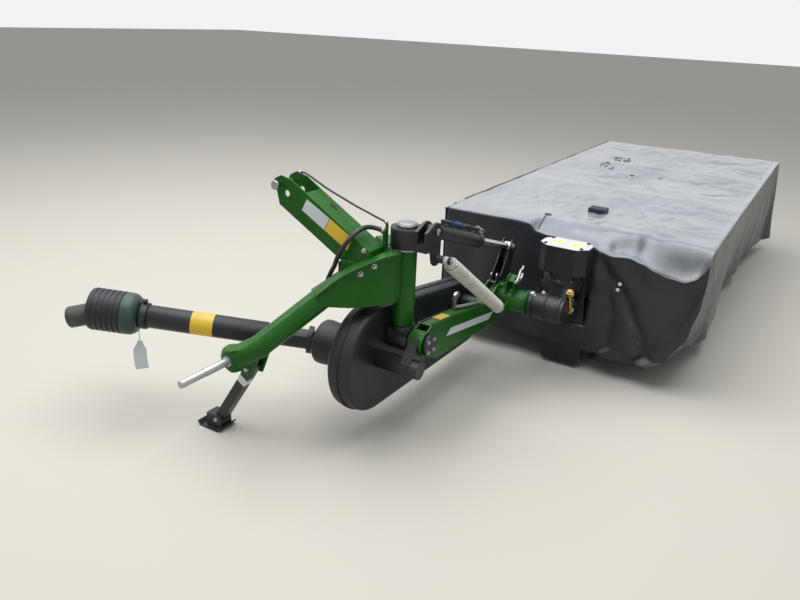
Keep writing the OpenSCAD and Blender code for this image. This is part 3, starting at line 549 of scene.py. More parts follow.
# near-black finish for the disc in the mast's hole: painted shade
SHADOW = Finish("dark_inside", rgb(14, 16, 15), rgb(20, 22, 20), "green_paint", dust=0.1,
                scratch=0.0, rough=0.7)
DISC_STEEL = Finish("pale_cap_steel", rgb(150, 153, 156), rgb(124, 127, 130), "bare_steel", mottle=0.7,
                    mottle_scale=30.0, dust=0.15, scratch=0.5, bare=rgb(130, 128, 124), metal=0.4, rough=0.36)
YELLOW_PALE = Finish("pale_yellow_film", rgb(244, 236, 142), rgb(226, 216, 120), "black_plastic", mottle=0.5,
                     dust=0.1, dust_colour=rgb(160, 156, 140), scratch=0.2, bare=rgb(150, 146, 120),
                     rough=0.34)
# the pale top colours of the cloth are a painted sky reflection, partly dust
CLOTH = ClothFinish("coated_cover_cloth", rgb(38, 42, 47), rgb(50, 53, 57), "cover_cloth",
                    top=rgb(134, 140, 148), painted_sheen_tint=rgb(112, 118, 127), soil=rgb(96, 98, 98))


# Shapes

def band(start: float, end: float, inner: float, outer: float) -> list[Pair]:
    """Returns the square section of a ring, for Shape.ring."""
    return [(start, inner), (start, outer), (end, outer), (end, inner)]


def soft_band(end: float, inner: float, outer: float, along: float = 0.002) -> list[Pair]:
    """Gives a ring's section with its two outer corners cut off, for Shape.ring.

    Args:
        end: the ring's width.
        inner: the radius of its hole.
        outer: its outer radius.
        along: how far the cut corners reach along the axis.

    Returns:
        The section's corners.
    """
    low = outer - 0.002
    return [(0.0, inner), (0.0, low), (along, outer), (end - along, outer), (end, low), (end, inner)]


class Shape:
    """Gathers the faces of one piece, in row-frame metres."""

    def __init__(self) -> None:
        """Starts with no faces."""
        self.bm = bmesh.new()

    def loft(self, rings: list[list[Vector]], capped: bool = True, closed: bool = True) -> None:
        """Joins rings of equal count with faces.

        Args:
            rings: the rings in order.
            capped: True to close the first and last ring with a face.
            closed: True where each ring goes all the way round.
        """
        rows = [[self.bm.verts.new(p) for p in ring] for ring in rings]
        count = len(rows[0])
        for low, high in zip(rows, rows[1:]):
            for i in range(count if closed else count - 1):
                j = (i + 1) % count
                self.bm.faces.new((low[i], low[j], high[j], high[i]))
        if capped:
            self.bm.faces.new(list(reversed(rows[0])))
            self.bm.faces.new(rows[-1])

    def lathe(self, profile: list[Pair], place: Vector, axis: Vector, sides: int = 32) -> None:
        """Turns a profile about an axis and closes both ends.

        Args:
            profile: (way along the axis, radius) in metres.
            place: the point that the ways are measured from.
            axis: the axis direction.
            sides: how many sides the round has.
        """
        u, v, w = frame_along(axis)
        rings = []
        for way, radius in profile:
            rings.append([place + w * way + (u * math.cos(a) + v * math.sin(a)) * radius
                          for a in turn_angles(sides)])
        self.loft(rings)

    def ring(self, profile: list[Pair], place: Vector, axis: Vector, sides: int = 32) -> None:
        """Turns a closed profile about an axis, as a ring with a hole.

        Args:
            profile: (way along the axis, radius) in metres, round the ring's section.
            place: the point that the ways are measured from.
            axis: the axis direction.
            sides: how many sides the round has.
        """
        u, v, w = frame_along(axis)
        rows = []
        for a in turn_angles(sides):
            out = u * math.cos(a) + v * math.sin(a)
            rows.append([self.bm.verts.new(place + w * way + out * radius) for way, radius in profile])
        count = len(profile)
        for low, high in zip(rows, rows[1:] + rows[:1]):
            for i in range(count):
                j = (i + 1) % count
                self.bm.faces.new((low[i], low[j], high[j], high[i]))

    def sweep(self, path: list[Vector], radius: float, sides: int = 10, ripple: float = 0.0) -> None:
        """Runs a round section along a path and closes both ends.

        Args:
            path: the points of the path.
            radius: the section's radius.
            sides: how many sides the section has.
            ripple: how much the radius swells and shrinks from point to point, as a share.
        """
        rings = []
        u = None
        for i, p in enumerate(path):
            ahead = path[min(i + 1, len(path) - 1)] - path[max(i - 1, 0)]
            w = ahead.normalized()
            u = frame_along(w)[0] if u is None else (u - w * u.dot(w)).normalized()
            v = w.cross(u)
            r = radius * (1 + ripple * math.sin(i * 2.4))
            rings.append([p + (u * math.cos(a) + v * math.sin(a)) * r for a in turn_angles(sides)])
        self.loft(rings)

    def slab(self, outline: list[Vector], thick: Vector, inset: float = 0.0) -> None:
        """Makes a plate from an outline.

        Args:
            outline: the corners in order.
            thick: the way from the outline to the other face.
            inset: how much the far face is drawn in, as a share of its size.
        """
        centre = sum(outline, Vector()) / len(outline)
        far = [p.lerp(centre, inset) + thick for p in outline]
        self.loft([outline, far])

    def hexagon(self, place: Vector, axis: Vector, across: float, height: float) -> None:
        """Makes a bolt head with its chamfer and washer.

        Args:
            place: where the washer sits.
            axis: the way the head stands out.
            across: width across the flats.
            height: the head's height.
        """
        u, v, w = frame_along(axis)
        washer = across * 0.72
        thick = across * 0.1
        self.lathe([(0.0, washer), (thick, washer), (across * 0.12, across * 0.68)], place, w, 24)
        corner = across / math.sqrt(3)
        rings = []
        for way, share in ((thick, 1.0), (height * 0.85, 1.0), (height, 0.86)):
            rings.append([place + w * way + (u * math.cos(a) + v * math.sin(a)) * corner * share
                          for a in turn_angles(6)])
        self.loft(rings)

    def weld(self, path: list[Vector], radius: float = 0.0045, step: float = 0.0035) -> None:
        """Lays a rippled weld bead along straight runs.

        Args:
            path: the corner points of the bead.
            radius: the bead's radius.
            step: the distance between two ripples.
        """
        points = []
        for a, b in zip(path, path[1:]):
            count = max(2, int((b - a).length / step))
            points += [a.lerp(b, i / count) for i in range(count)]
        points.append(path[-1])
        self.sweep(points, radius, 8, 0.18)

    def join(self, name: str, body: str, finish: Surface, bevel: float = 0.0,
             angle: float = 35.0) -> bpy.types.Object:
        """Ends the piece: makes its object, finish and ride.

        Args:
            name: the piece's name.
            body: the CAD body that it rides on.
            finish: its finish.
            bevel: the width of its rounded edges in metres.
            angle: the angle in degrees from which an edge stays sharp.

        Returns:
            The piece's object.
        """
        bmesh.ops.recalc_face_normals(self.bm, faces=self.bm.faces)
        mesh = bpy.data.meshes.new(name)
        self.bm.to_mesh(mesh)
        self.bm.free()
        mesh.shade_smooth()
        mesh.set_sharp_from_angle(angle=math.radians(angle))
        made = bpy.data.objects.new(name, mesh)
        bpy.context.scene.collection.objects.link(made)
        made.data.materials.append(finish.material())
        if bevel > 0:
            add_bevel(made, bevel)
        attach(made, body)
        LOG.info("%s on %s: %d faces", name, body, len(mesh.polygons))
        return made


def add_bevel(target: bpy.types.Object, width: float) -> None:
    """Rounds the edges of an object with a modifier.

    Args:
        target: the object.
        width: the rounding's width in metres.
    """
    bevel = target.modifiers.new("rounded_edges", "BEVEL")
    bevel.width = width
    bevel.segments = 2
    bevel.limit_method = "ANGLE"
    bevel.angle_limit = BEVEL_ANGLE
    bevel.harden_normals = True
    bevel.use_clamp_overlap = True


def smooth_path(corners: list[Vector], count: int) -> list[Vector]:
    """Runs a smooth curve through corner points.

    Args:
        corners: the points that it passes.
        count: how many points each stretch gets.

    Returns:
        The points of the curve.
    """
    padded = [corners[0] * 2 - corners[1]] + corners + [corners[-1] * 2 - corners[-2]]
    points = []
    for a, b, c, d in zip(padded, padded[1:], padded[2:], padded[3:]):
        for i in range(count):
            t = i / count
            points.append(0.5 * ((2 * b) + (c - a) * t + (2 * a - 5 * b + 4 * c - d) * t * t
                                 + (3 * b - a - 3 * c + d) * t ** 3))
    points.append(corners[-1].copy())
    return points


# The photograph's view

@dataclass
class StudioSet:
    """Pale floor, soft light and the camera at the photograph's viewing angle."""

    eye: Triple = (1.4467, -3.8382, 1.600)
    right: Triple = (0.8520, 0.5218, 0.0427)
    down: Triple = (0.2261, -0.2930, -0.9290)
    lens: float = 32.44
    sensor: float = 36.0
    floor_edge: float = 40.0
    floor_colour: Colour = rgb(196, 193, 184)
    floor_tint: Colour = rgb(196, 192, 182)
    sky_colour: Colour = (0.95, 0.97, 1.0, 1.0)
    sky_light: float = 0.45
    seen_colour: Colour = (0.93, 0.94, 0.95, 1.0)
    seen_light: float = 0.95
    lamp_place: Triple = (-0.8, -1.2, 5.2)
    lamp_size: Pair = (7.0, 6.0)
    lamp_tilt: Triple = (8.0, -6.0, 0.0)
    lamp_watts: float = 440.0

    def build(self) -> None:
        """Builds the camera, the floor and the light."""
        self.add_camera()
        self.add_floor()
        self.add_light()

    def add_camera(self) -> None:
        """Places the camera."""
        data = bpy.data.cameras.new("view")
        data.lens = self.lens
        data.sensor_width = self.sensor
        camera = bpy.data.objects.new("view", data)
        side = Vector(self.right).normalized()
        down = Vector(self.down)
        up = -(down - side * down.dot(side)).normalized()
        back = side.cross(up)
        turn = Matrix((side, up, back)).transposed().to_4x4()
        camera.matrix_world = Matrix.Translation(self.eye) @ turn
        bpy.context.scene.collection.objects.link(camera)
        bpy.context.scene.camera = camera

    def add_floor(self) -> None:
        """Lays the floor with a soft unevenness of colour."""
        mesh = bpy.data.meshes.new("floor")
        edge = self.floor_edge
        corners = [(-edge, -edge, 0), (edge, -edge, 0), (edge, edge, 0), (-edge, edge, 0)]
        mesh.from_pydata(corners, [], [(0, 1, 2, 3)])
        floor = bpy.data.objects.new("floor", mesh)
        bpy.context.scene.collection.objects.link(floor)
        made = bpy.data.materials.new("pale_floor")
        made.use_nodes = True
        tree = made.node_tree
        shader = tree.nodes["Principled BSDF"]
        mottle = place_effect(tree, Effect.MOTTLE, Color=self.floor_colour, Tint=self.floor_tint, Scale=1.4,
                              Amount=0.5)
        tree.links.new(mottle.outputs["Color"], shader.inputs["Base Color"])
        shader.inputs["Roughness"].default_value = 0.85
        floor.data.materials.append(made)

    def add_light(self) -> None:
        """Adds the world's light and one wide lamp overhead."""
        world = bpy.data.worlds.new("soft_world")
        bpy.context.scene.world = world
        world.use_nodes = True
        tree = world.node_tree
        tree.nodes.clear()
        path = add_node(tree, "LightPath")
        seen = add_node(tree, "Math", {0: path.outputs["Is Camera Ray"], 1: path.outputs["Is Glossy Ray"]},
                        operation="MAXIMUM")
        sky = add_node(tree, "Background", {"Color": self.sky_colour, "Strength": self.sky_light})
        shown = add_node(tree, "Background", {"Color": self.seen_colour, "Strength": self.seen_light})
        both = add_node(tree, "MixShader", {0: seen.outputs[0], 1: sky.outputs[0], 2: shown.outputs[0]})
        add_node(tree, "OutputWorld", {"Surface": both.outputs[0]})
        lamp = bpy.data.lights.new("overhead", "AREA")
        lamp.shape = "RECTANGLE"
        lamp.size, lamp.size_y = self.lamp_size
        lamp.energy = self.lamp_watts
        hung = bpy.data.objects.new("overhead", lamp)
        hung.location = self.lamp_place
        hung.rotation_euler = [math.radians(a) for a in self.lamp_tilt]
        bpy.context.scene.collection.objects.link(hung)
        bpy.context.scene.view_settings.view_transform = "Standard"


# CAD nodes that stay

@dataclass(frozen=True)
class NodeDress:
    """A CAD node's finish, and the width of its rounded edges in millimetres."""

    node: str
    finish: Finish
    rounding: float


NODE_DRESS = (
    NodeDress("headstock", GREEN, 5.0),
    NodeDress("mast", GREEN, 5.0),
    NodeDress("hitch_pins", STEEL, 2.0),
    NodeDress("stand_leg", BLACK_PAINT, 2.5),
    NodeDress("kingpin", STEEL, 1.5),
    NodeDress("swivel_head", BLACK_PAINT, 3.0),
    NodeDress("swivel_foot", BLACK_PAINT, 3.0),
    NodeDress("arm_beam", GREEN, 2.0),
    NodeDress("lift_lever", BLACK_PAINT, 1.2),
    NodeDress("bearing_tube", BLACK_PAINT, 2.0),
    NodeDress("cone_cup", BLACK_PLASTIC, 1.2),
    NodeDress("input_shaft", STEEL, 1.0),
    NodeDress("shaft_knuckle", STEEL, 1.0),
    NodeDress("shaft_inner_guard", BLACK_PLASTIC, 1.2),
    NodeDress("shaft_outer_guard", BLACK_PLASTIC, 1.2),
    NodeDress("shaft_cone", BLACK_PLASTIC, 1.2),
    NodeDress("shaft_yoke", IRON, 2.0),
    NodeDress("lift_barrel", BLACK_PAINT, 1.5),
    NodeDress("lift_rod", ROD_STEEL, 1.5),
    NodeDress("spring_rod", STEEL, 1.0),
    NodeDress("bed_bracket", BLACK_PAINT, 3.0),
    NodeDress("gearbox", IRON, 3.0),
    NodeDress("gearbox_guard", BLACK_PAINT, 2.0),
    NodeDress("cutter_bar", IRON, 2.0),
    NodeDress("skids", IRON, 1.5),
    NodeDress("bed_frame", BLACK_PAINT, 3.0),
) + tuple(NodeDress(f"disc_{i}", CUT_STEEL, 1.0) for i in range(1, 8))


def dress_nodes() -> None:
    """Gives each CAD node that stays its finish and rounded edges."""
    for dress in NODE_DRESS:
        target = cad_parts[dress.node]
        target.data.materials.clear()
        target.data.materials.append(dress.finish.material())
        weld = target.modifiers.new("joined_corners", "WELD")
        weld.merge_threshold = MERGE_DISTANCE
        flat = target.modifiers.new("whole_faces", "DECIMATE")
        flat.decimate_type = "DISSOLVE"
        flat.angle_limit = FLAT_ANGLE
        add_bevel(target, dress.rounding / 1000)
        LOG.info("%s: %s", dress.node, dress.finish.name)


# Belt drive

@dataclass
class BeltDrive:
    """Two pressed shells round the belts, and the screws of the front one."""

    big: Pair = (-80.0, 345.0)
    small: Pair = (725.0, 278.0)
    big_radius: float = 222.0
    small_radius: float = 172.0
    front: float = -160.0
    rear: float = -52.0
    seam: float = -106.0
    stay: Triple = (650.0, 356.0, 34.0)
    count: int = 128

    def outline(self, inset: float, x: float) -> list[Vector]:
        """Gives the guard's outline.

        Args:
            inset: how far inside the widest outline, in millimetres.
            x: the plane that it lies in.

        Returns:
            The outline's points, always the same number.
        """
        c1, c2 = Vector(self.big), Vector(self.small)
        r1, r2 = self.big_radius - inset, self.small_radius - inset
        base = math.atan2(c2.y - c1.y, c2.x - c1.x)
        lean = math.acos((r1 - r2) / (c2 - c1).length)
        half = self.count // 2
        points = []
        for i in range(half):
            a = base + lean + (2 * math.pi - 2 * lean) * i / (half - 1)
            points.append(at(x, c1.x + r1 * math.cos(a), c1.y + r1 * math.sin(a)))
        for i in range(self.count - half):
            a = base - lean + 2 * lean * i / (self.count - half - 1)
            points.append(at(x, c2.x + r2 * math.cos(a), c2.y + r2 * math.sin(a)))
        return points

    def hole(self, radius: float, x: float) -> list[Vector]:
        """Gives the round hole of the input shaft with as many points as the outline.

        Args:
            radius: the hole's radius.
            x: the plane that it lies in.

        Returns:
            The hole's points.
        """
        points = []
        for p in self.outline(60, x):
            y = (p.y - KINGPIN.y) * 1000 - self.big[0]
            z = p.z * 1000 - self.big[1]
            far = math.hypot(y, z)
            points.append(at(x, self.big[0] + radius * y / far, self.big[1] + radius * z / far))
        return points

    def shell(self, profile: list[Pair], hole: float) -> Shape:
        """Makes a pressed shell.

        Args:
            profile: (inset, x) from the seam to the face.
            hole: radius of the hole in the face.

        Returns:
            The shell's shape.
        """
        shape = Shape()
        rings = [self.outline(inset, x) for inset, x in profile]
        rings.append(self.hole(hole, profile[-1][1]))
        shape.loft(rings, capped=False)
        return shape

    def build(self) -> None:
        """Builds both shells and the screws."""
        wall = [(6, -119), (6, -136), (7.5, -142), (11, -146), (16, -148), (20, -149.5), (22.5, -152),
                (24, -156), (27.5, -159.2), (33, -160), (60, -160), (66, -158), (72, -156.5), (96, -156)]
        front = self.shell([(0, self.seam), (0, -112.5), (1, -114), (5, -114.5)] + wall, 42)
        piece = front.join("belt_guard_front", "arm", BLACK_PLASTIC, angle=28)
        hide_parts("guard_front")
        wall = [(6, -94), (6, -68), (8, -61), (13, -55), (20, -52.5), (28, -52), (80, -52)]
        rear = self.shell([(0, self.seam + 0.6), (0, -99), (1, -98), (5, -97.5)] + wall, 37)
        y, z, radius = self.stay
        rear.lathe([(0.0, radius / 1000), (0.1015, radius / 1000)], at(self.rear - 0.5, y, z), X_AXIS, 40)
        piece = rear.join("belt_guard_rear", "arm", BLACK_PLASTIC, angle=28)
        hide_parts("guard_rear")
        self.add_screws()

    def add_screws(self) -> None:
        """Adds the screws round the front shell's face."""
        shape = Shape()
        ring = self.outline(46, self.front)
        for i in range(4, self.count, 16):
            shape.hexagon(ring[i], -X_AXIS, 0.010, 0.005)
        shape.join("belt_guard_screws", "arm", STEEL)


# Relief spring and lift cylinder

@dataclass
class SlantedPart:
    """A round part that slants down from its upper eye to its lower eye, in a plane at one x."""

    plane: float
    top: Pair
    low: Pair

    def along(self, way: float, side: float = 0.0, up: float = 0.0) -> Vector:
        """Gives a place by its way along the part and its offset across it.

        Args:
            way: millimetres from the upper eye.
            side: millimetres along the machine's X.
            up: millimetres across the part, upwards.

        Returns:
            The place.
        """
        run = Vector((0, self.low[0] - self.top[0], self.low[1] - self.top[1])).normalized()
        across = Vector((0, -run.z, run.y))
        return at(self.plane, *self.top) + (run * way + X_AXIS * side + across * up) * 0.001

    def run(self) -> Vector:
        """Returns a step of one millimetre along the part."""
        return self.along(1) - self.along(0)

    def rise(self) -> Vector:
        """Returns a step of one millimetre across the part, upwards."""
        return self.along(0, 0, 1) - self.along(0)


@dataclass
class ReliefSpring(SlantedPart):
    """Tension spring with its plugs and the lock nuts of its rod."""

    plane: float = 147.0
    top: Pair = (50.0, 756.0)
    low: Pair = (628.0, 371.0)
    radius: float = 25.0
    wire: float = 5.0
    start: float = 44.0
    end: float = 652.0
    turns: int = 48
    stroke: float = 240.0

    def build(self) -> None:
        """Builds the coil with its plugs, and the lock nuts."""
        shape = Shape()
        steps = 14
        path = []
        for i in range(self.turns * steps + 1):
            a = 2 * math.pi * i / steps
            way = lerp(self.start, self.end, i / (self.turns * steps))
            path.append(self.along(way, self.radius * math.cos(a), self.radius * math.sin(a)))
        shape.sweep(path, self.wire / 1000, 6)
        run = self.run().normalized()
        plug = [(0.0, 0.009), (0.004, 0.014), (0.018, 0.020), (0.022, 0.0205), (0.030, 0.0205),
                (0.060, 0.0200)]
        shape.lathe(plug, self.along(18), run, 28)
        shape.lathe([(0.0, 0.012), (0.030, 0.012)], self.along(8), run, 20)
        plug = [(0.0, 0.0205), (0.034, 0.0205), (0.040, 0.017), (0.046, 0.0125)]
        shape.lathe(plug, self.along(618), run, 28)
        shape.lathe([(-0.008, 0.0155), (0.008, 0.0155)], self.along(0), X_AXIS, 28)
        piece = shape.join("spring_coil_wound", "spring", SPRING)
        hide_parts("spring_coil")
        tuple(self.along(0))
        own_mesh(piece)
        self.add_nuts(run)

    def add_nuts(self, run: Vector) -> None:
        """Adds the lock nuts on the rod.

        Args:
            run: the direction along the spring.
        """
        shape = Shape()
        for way in (662, 674):
            shape.hexagon(self.along(way), run, 0.024, 0.010)
        shape.join("spring_rod_nuts", "spring_end", STEEL)


# Hose and cable

@dataclass
class HeadstockLines:
    """The hydraulic hose and the latch cable of the headstock, on the routes of the part's source."""

    hose: tuple[Triple, ...] = (
        (-72, -62, 858), (-90, -68, 863), (-105, -82, 868), (-113, -104, 871), (-115, -130, 871),
        (-119, -156, 864), (-129, -177, 846), (-145, -190, 820), (-163, -196, 790), (-180, -194, 757),
        (-198, -182, 727), (-220, -168, 699), (-236, -166, 668), (-244, -172, 638), (-248, -178, 610))
    cable: tuple[Triple, ...] = (
        (-446, -66, 1020), (-428, -66, 1021), (-410, -66, 1015), (-392, -65, 1007), (-374, -64, 998),
        (-356, -63, 990), (-338, -62, 981), (-320, -60, 973), (-302, -59, 966), (-284, -57, 959),
        (-266, -56, 952), (-248, -54, 945), (-230, -52, 938), (-212, -50, 931), (-194, -48, 924),
        (-176, -46, 918), (-158, -44, 912), (-140, -42, 906), (-122, -39, 899), (-104, -35, 892),
        (-90, -32, 887), (-78, -30, 882))
    hose_radius: float = 9.0
    cable_radius: float = 4.0

    def build(self) -> None:
        """Builds both lines and the collars at their ends."""
        self.add_line("headstock_hose_tube", "headstock_hose", self.hose, self.hose_radius)
        self.add_line("mast_cable_tube", "mast_cable", self.cable, self.cable_radius)
        shape = Shape()
        for route, radius in ((self.hose, 13.0), (self.cable, 7.4)):
            for end, inner in ((route[0], route[1]), (route[-1], route[-2])):
                out = (at(*end) - at(*inner)).normalized()
                wide = radius / 1000
                shape.lathe([(-0.001, wide * 0.84), (0.001, wide), (0.004, wide), (0.005, wide * 0.9),
                             (0.007, wide), (0.0085, wide * 0.92)], at(*end), out, 24)
        shape.join("line_collars", "headstock", STEEL)

    def add_line(self, name: str, node: str, route: tuple[Triple, ...], radius: float) -> None:
        """Args:
            name: the piece's name.
            node: the CAD node that it replaces.
            route: the points that it follows.
            radius: its radius in millimetres.
        """
        points = smooth_path([at(*p) for p in route], 3)
        shape = Shape()
        shape.sweep(points, radius / 1000, 14)
        piece = shape.join(name, "headstock", HOSE, angle=70)
        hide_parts(node)


# Headstock

@dataclass
class HeadstockDetails:
    """Folded plate, blank films, bolts and weld beads of the headstock and its mast."""

    pin: Pair = (LINK_PIN_X, -491.5)
    run: Pair = (0.65498, 0.75566)
    mast_side: float = -158.0
    white_film: Table = ((-346, 948), (-370, 903), (-266, 845), (-241, 893))
    yellow_film: Table = ((-239, 892), (-264, 844), (-160, 786), (-136, 836))
    mast_hole: Pair = (-268.0, -96.0)
    mast_foot: Pair = (-100.0, 822.0)
    mast_slope: Pair = (320.0, 188.0)
    flange_plate: tuple[Triple, ...] = (
        (296, -30, 634), (322, -36, 656), (352, -46, 686), (392, -60, 718), (430, -68, 740), (484, -71, 762),
        (540, -62, 777), (600, -48, 783))

    def leg_point(self, way: float, side: float, z: float) -> Vector:
        """Gives a place on the left leg.

        Args:
            way: millimetres from the link pin to the kingpin.
            side: millimetres off the leg's middle, towards the mast.
            z: the height.

        Returns:
            The place.
        """
        rx, ry = self.run
        return at(self.pin[0] + rx * way - ry * side, self.pin[1] + ry * way + rx * side, z)

    def build(self) -> None:
        """Adds the films, the bolts, the welds and the pins' trim."""
        self.add_films()
        self.add_mast_hole()
        self.add_flange_plate()
        self.add_bolts()
        self.add_welds()
        self.add_pin_trim()

    def add_flange_plate(self) -> None:
        """Adds the folded plate that sweeps from the leg up to the kingpin tube, with its flange on top."""
        web = []
        flange = []
        for way, side, top in self.flange_plate:
            web.append([self.leg_point(way, s, z) for s, z in
                        ((side, 590), (side, top + 2), (side + 7, top + 2), (side + 7, 590))])
            flange.append([self.leg_point(way, s, z) for s, z in
                           ((side - 20, top), (side - 20, top + 8), (side + 28, top + 8), (side + 28, top))])
        shape = Shape()
        shape.loft(web)
        shape.loft(flange)
        shape.join("flange_plate", "headstock", GREEN, bevel=0.0022)

    def add_films(self) -> None:
        """Adds the two blank films on the mast's side."""
        for name, outline, finish in (("mast_film_white", self.white_film, WHITE_LABEL),
                                      ("mast_film_yellow", self.yellow_film, YELLOW_LABEL)):
            shape = Shape()
            shape.slab([at(x, self.mast_side + 0.2, z) for x, z in outline], Vector((0, -0.0008, 0)), 0.004)
            shape.join(name, "headstock", finish)

    def add_mast_hole(self) -> None:
        """Adds the oval hole on the mast's top with its rolled rim; the hole is a near-black disc, painted
        shade.
        """
        x, y = self.mast_hole
        foot_x, foot_z = self.mast_foot
        way, rise = self.mast_slope
        slope = math.atan2(rise, way)
        run = Vector((-math.cos(slope), 0, math.sin(slope)))
        up = Vector((math.sin(slope), 0, math.cos(slope)))
        centre = at(x, y, foot_z + (foot_x - x) * (rise / way))
        rings = []
        for share, lift in ((1.16, 0.0), (1.12, 0.0012), (1.0, 0.0012), (0.94, 0.0004)):
            rings.append([centre + (run * 17 * math.cos(a) + Y_AXIS * 10 * math.sin(a)) * 0.001 * share
                          + up * lift for a in turn_angles(32)])
        rim = Shape()
        rim.loft(rings, capped=False)
        rim.join("mast_hole_rim", "headstock", GREEN)
        # the hole is a near-black disc: painted shade
        hole = Shape()
        hole.loft([rings[3], [p - up * 0.0001 for p in rings[3]]])
        hole.join("mast_hole_inside", "headstock", SHADOW)

    def add_bolts(self) -> None:
        """Adds the silver bolts of the seat."""
        shape = Shape()
        face = self.leg_point(0, -1, 0) - self.leg_point(0, 0, 0)
        for way, side, z in ((508, -70, 748), (456, -71, 722)):
            shape.hexagon(self.leg_point(way, side, z), face, 0.015, 0.010)
            end = self.leg_point(way, side, z) + face.normalized() * 0.009
            shape.lathe([(0, 0.005), (0.006, 0.005), (0.007, 0.004)], end, face, 14)
        shape.hexagon(at(-84, self.mast_side, 800), -Y_AXIS, 0.015, 0.009)
        shape.join("seat_bolts", "headstock", STEEL)

    def add_welds(self) -> None:
        """Lays the beads along the box part, the kingpin tube and the mast's seat."""
        shape = Shape()
        shape.weld([self.leg_point(w, 31.5, z) for w, z in ((392, 681), (430, 704), (592, 777))])
        shape.weld([self.leg_point(621, 32, z) for z in (603, 772)])
        shape.weld([self.leg_point(603, -46, z) for z in (594, 780)])
        shape.weld([at(-186, self.mast_side, 742), at(-62, self.mast_side, 742)])
        shape.join("headstock_welds", "headstock", GREEN, angle=80)

    def add_pin_trim(self) -> None:
        """Adds the stepped sleeves of the link pins and the clip on the stand's pin."""
        shape = Shape()
        for side in (-1, 1):
            shoulder = at(LINK_PIN_X, HITCH_Y + side * HITCH_HALF, HITCH_Z)
            shape.lathe([(0.0, 0.021), (0.005, 0.021), (0.006, 0.0152), (0.112, 0.0152), (0.114, 0.0142)],
                        shoulder, Y_AXIS * side, 32)
            shape.ring([(0.206, 0.0142), (0.207, 0.0146), (0.210, 0.0146), (0.211, 0.0142)],
                       shoulder, Y_AXIS * side, 28)
        loop = [at(-420 + 16 * math.sin(a), -351, 316 - 16 * math.cos(a)) for a in turn_angles(28)[:24]]
        shape.sweep(loop, 0.0018, 8)
        shape.join("pin_trim", "headstock", STEEL)


# Swivel head and lift cylinder

@dataclass
class LiftDetails(SlantedPart):
    """Trim of the swivel head, the lift cylinder and its pins."""

    plane: float = 81.0
    top: Pair = (35.0, 863.0)
    low: Pair = LIFT_EYE
    pipe_up: float = 45.0

    def build(self) -> None:
        """Adds every part of the trim."""
        self.add_head_trim()
        self.add_pipe()
        self.add_fittings()

    def add_head_trim(self) -> None:
        """Adds the domed disc on the kingpin, the pins' ends and the thrust ring."""
        shape = Shape()
        shape.lathe([(0.0, 0.037), (0.0035, 0.036), (0.006, 0.030), (0.0078, 0.018), (0.0085, 0.004)],
                    at(0, 0, 884), Z_AXIS, 40)
        shape.join("kingpin_cap", "swivel", DISC_STEEL, angle=60)
        shape = Shape()
        shape.ring([(0.0, 0.041), (0.0045, 0.041), (0.0045, 0.060), (0.0, 0.060)], at(0, 0, 791), Z_AXIS, 40)
        shape.lathe([(0.0, 0.0135), (0.003, 0.0135), (0.0045, 0.011)], at(112.5, *self.top), X_AXIS, 28)
        shape.lathe([(0.0, 0.009), (0.003, 0.009), (0.004, 0.007)], at(166.5, 50, 756), X_AXIS, 20)
        shape.hexagon(at(61, -14, 830), Vector((0.35, -1, 0)), 0.010, 0.005)
        shape.join("swivel_trim", "swivel", STEEL)

    def add_pipe(self) -> None:
        """Adds the oil pipe along the barrel with its ports, and its blue cap."""
        shape = Shape()
        path = [self.along(way, 0, up) for way, up in
                ((92, 22), (92, 38), (104, self.pipe_up), (400, self.pipe_up), (412, 38), (412, 22))]
        shape.sweep(smooth_path(path, 6), 0.0075, 14)
        shape.join("cylinder_pipe", "cylinder", HOSE, angle=60)
        shape = Shape()
        for way in (92, 412):
            shape.lathe([(0.0, 0.015), (0.010, 0.015), (0.012, 0.012)], self.along(way, 0, 24),
                        self.rise(), 24)
        for way in (160, 250, 340):
            shape.ring(band(-0.005, 0.005, 0.0270, 0.0278), self.along(way), self.run(), 32)
            shape.slab([self.along(way - 8, side, 26) for side in (-8, 8)]
                       + [self.along(way + 8, side, 26) for side in (8, -8)],
                       self.rise() * 28)
        shape.join("cylinder_clips", "cylinder", BLACK_PAINT, bevel=0.001)
        shape = Shape()
        shape.lathe([(0.0, 0.0085), (0.002, 0.0095), (0.128, 0.0095), (0.130, 0.0085)],
                    self.along(150, 0, self.pipe_up), self.run(), 24)
        shape.join("pipe_sleeve_blue", "cylinder", BLUE)

    def add_fittings(self) -> None:
        """Adds the silver elbow at the pipe's lower end."""
        shape = Shape()
        shape.hexagon(self.along(418, 0, self.pipe_up), self.run(), 0.020, 0.016)
        path = [self.along(way, 0, up) for way, up in
                ((430, self.pipe_up), (450, self.pipe_up), (462, 42), (468, 36))]
        shape.sweep(smooth_path(path, 5), 0.0085, 16)
        shape.join("cylinder_elbow", "cylinder", STEEL)


# Arm

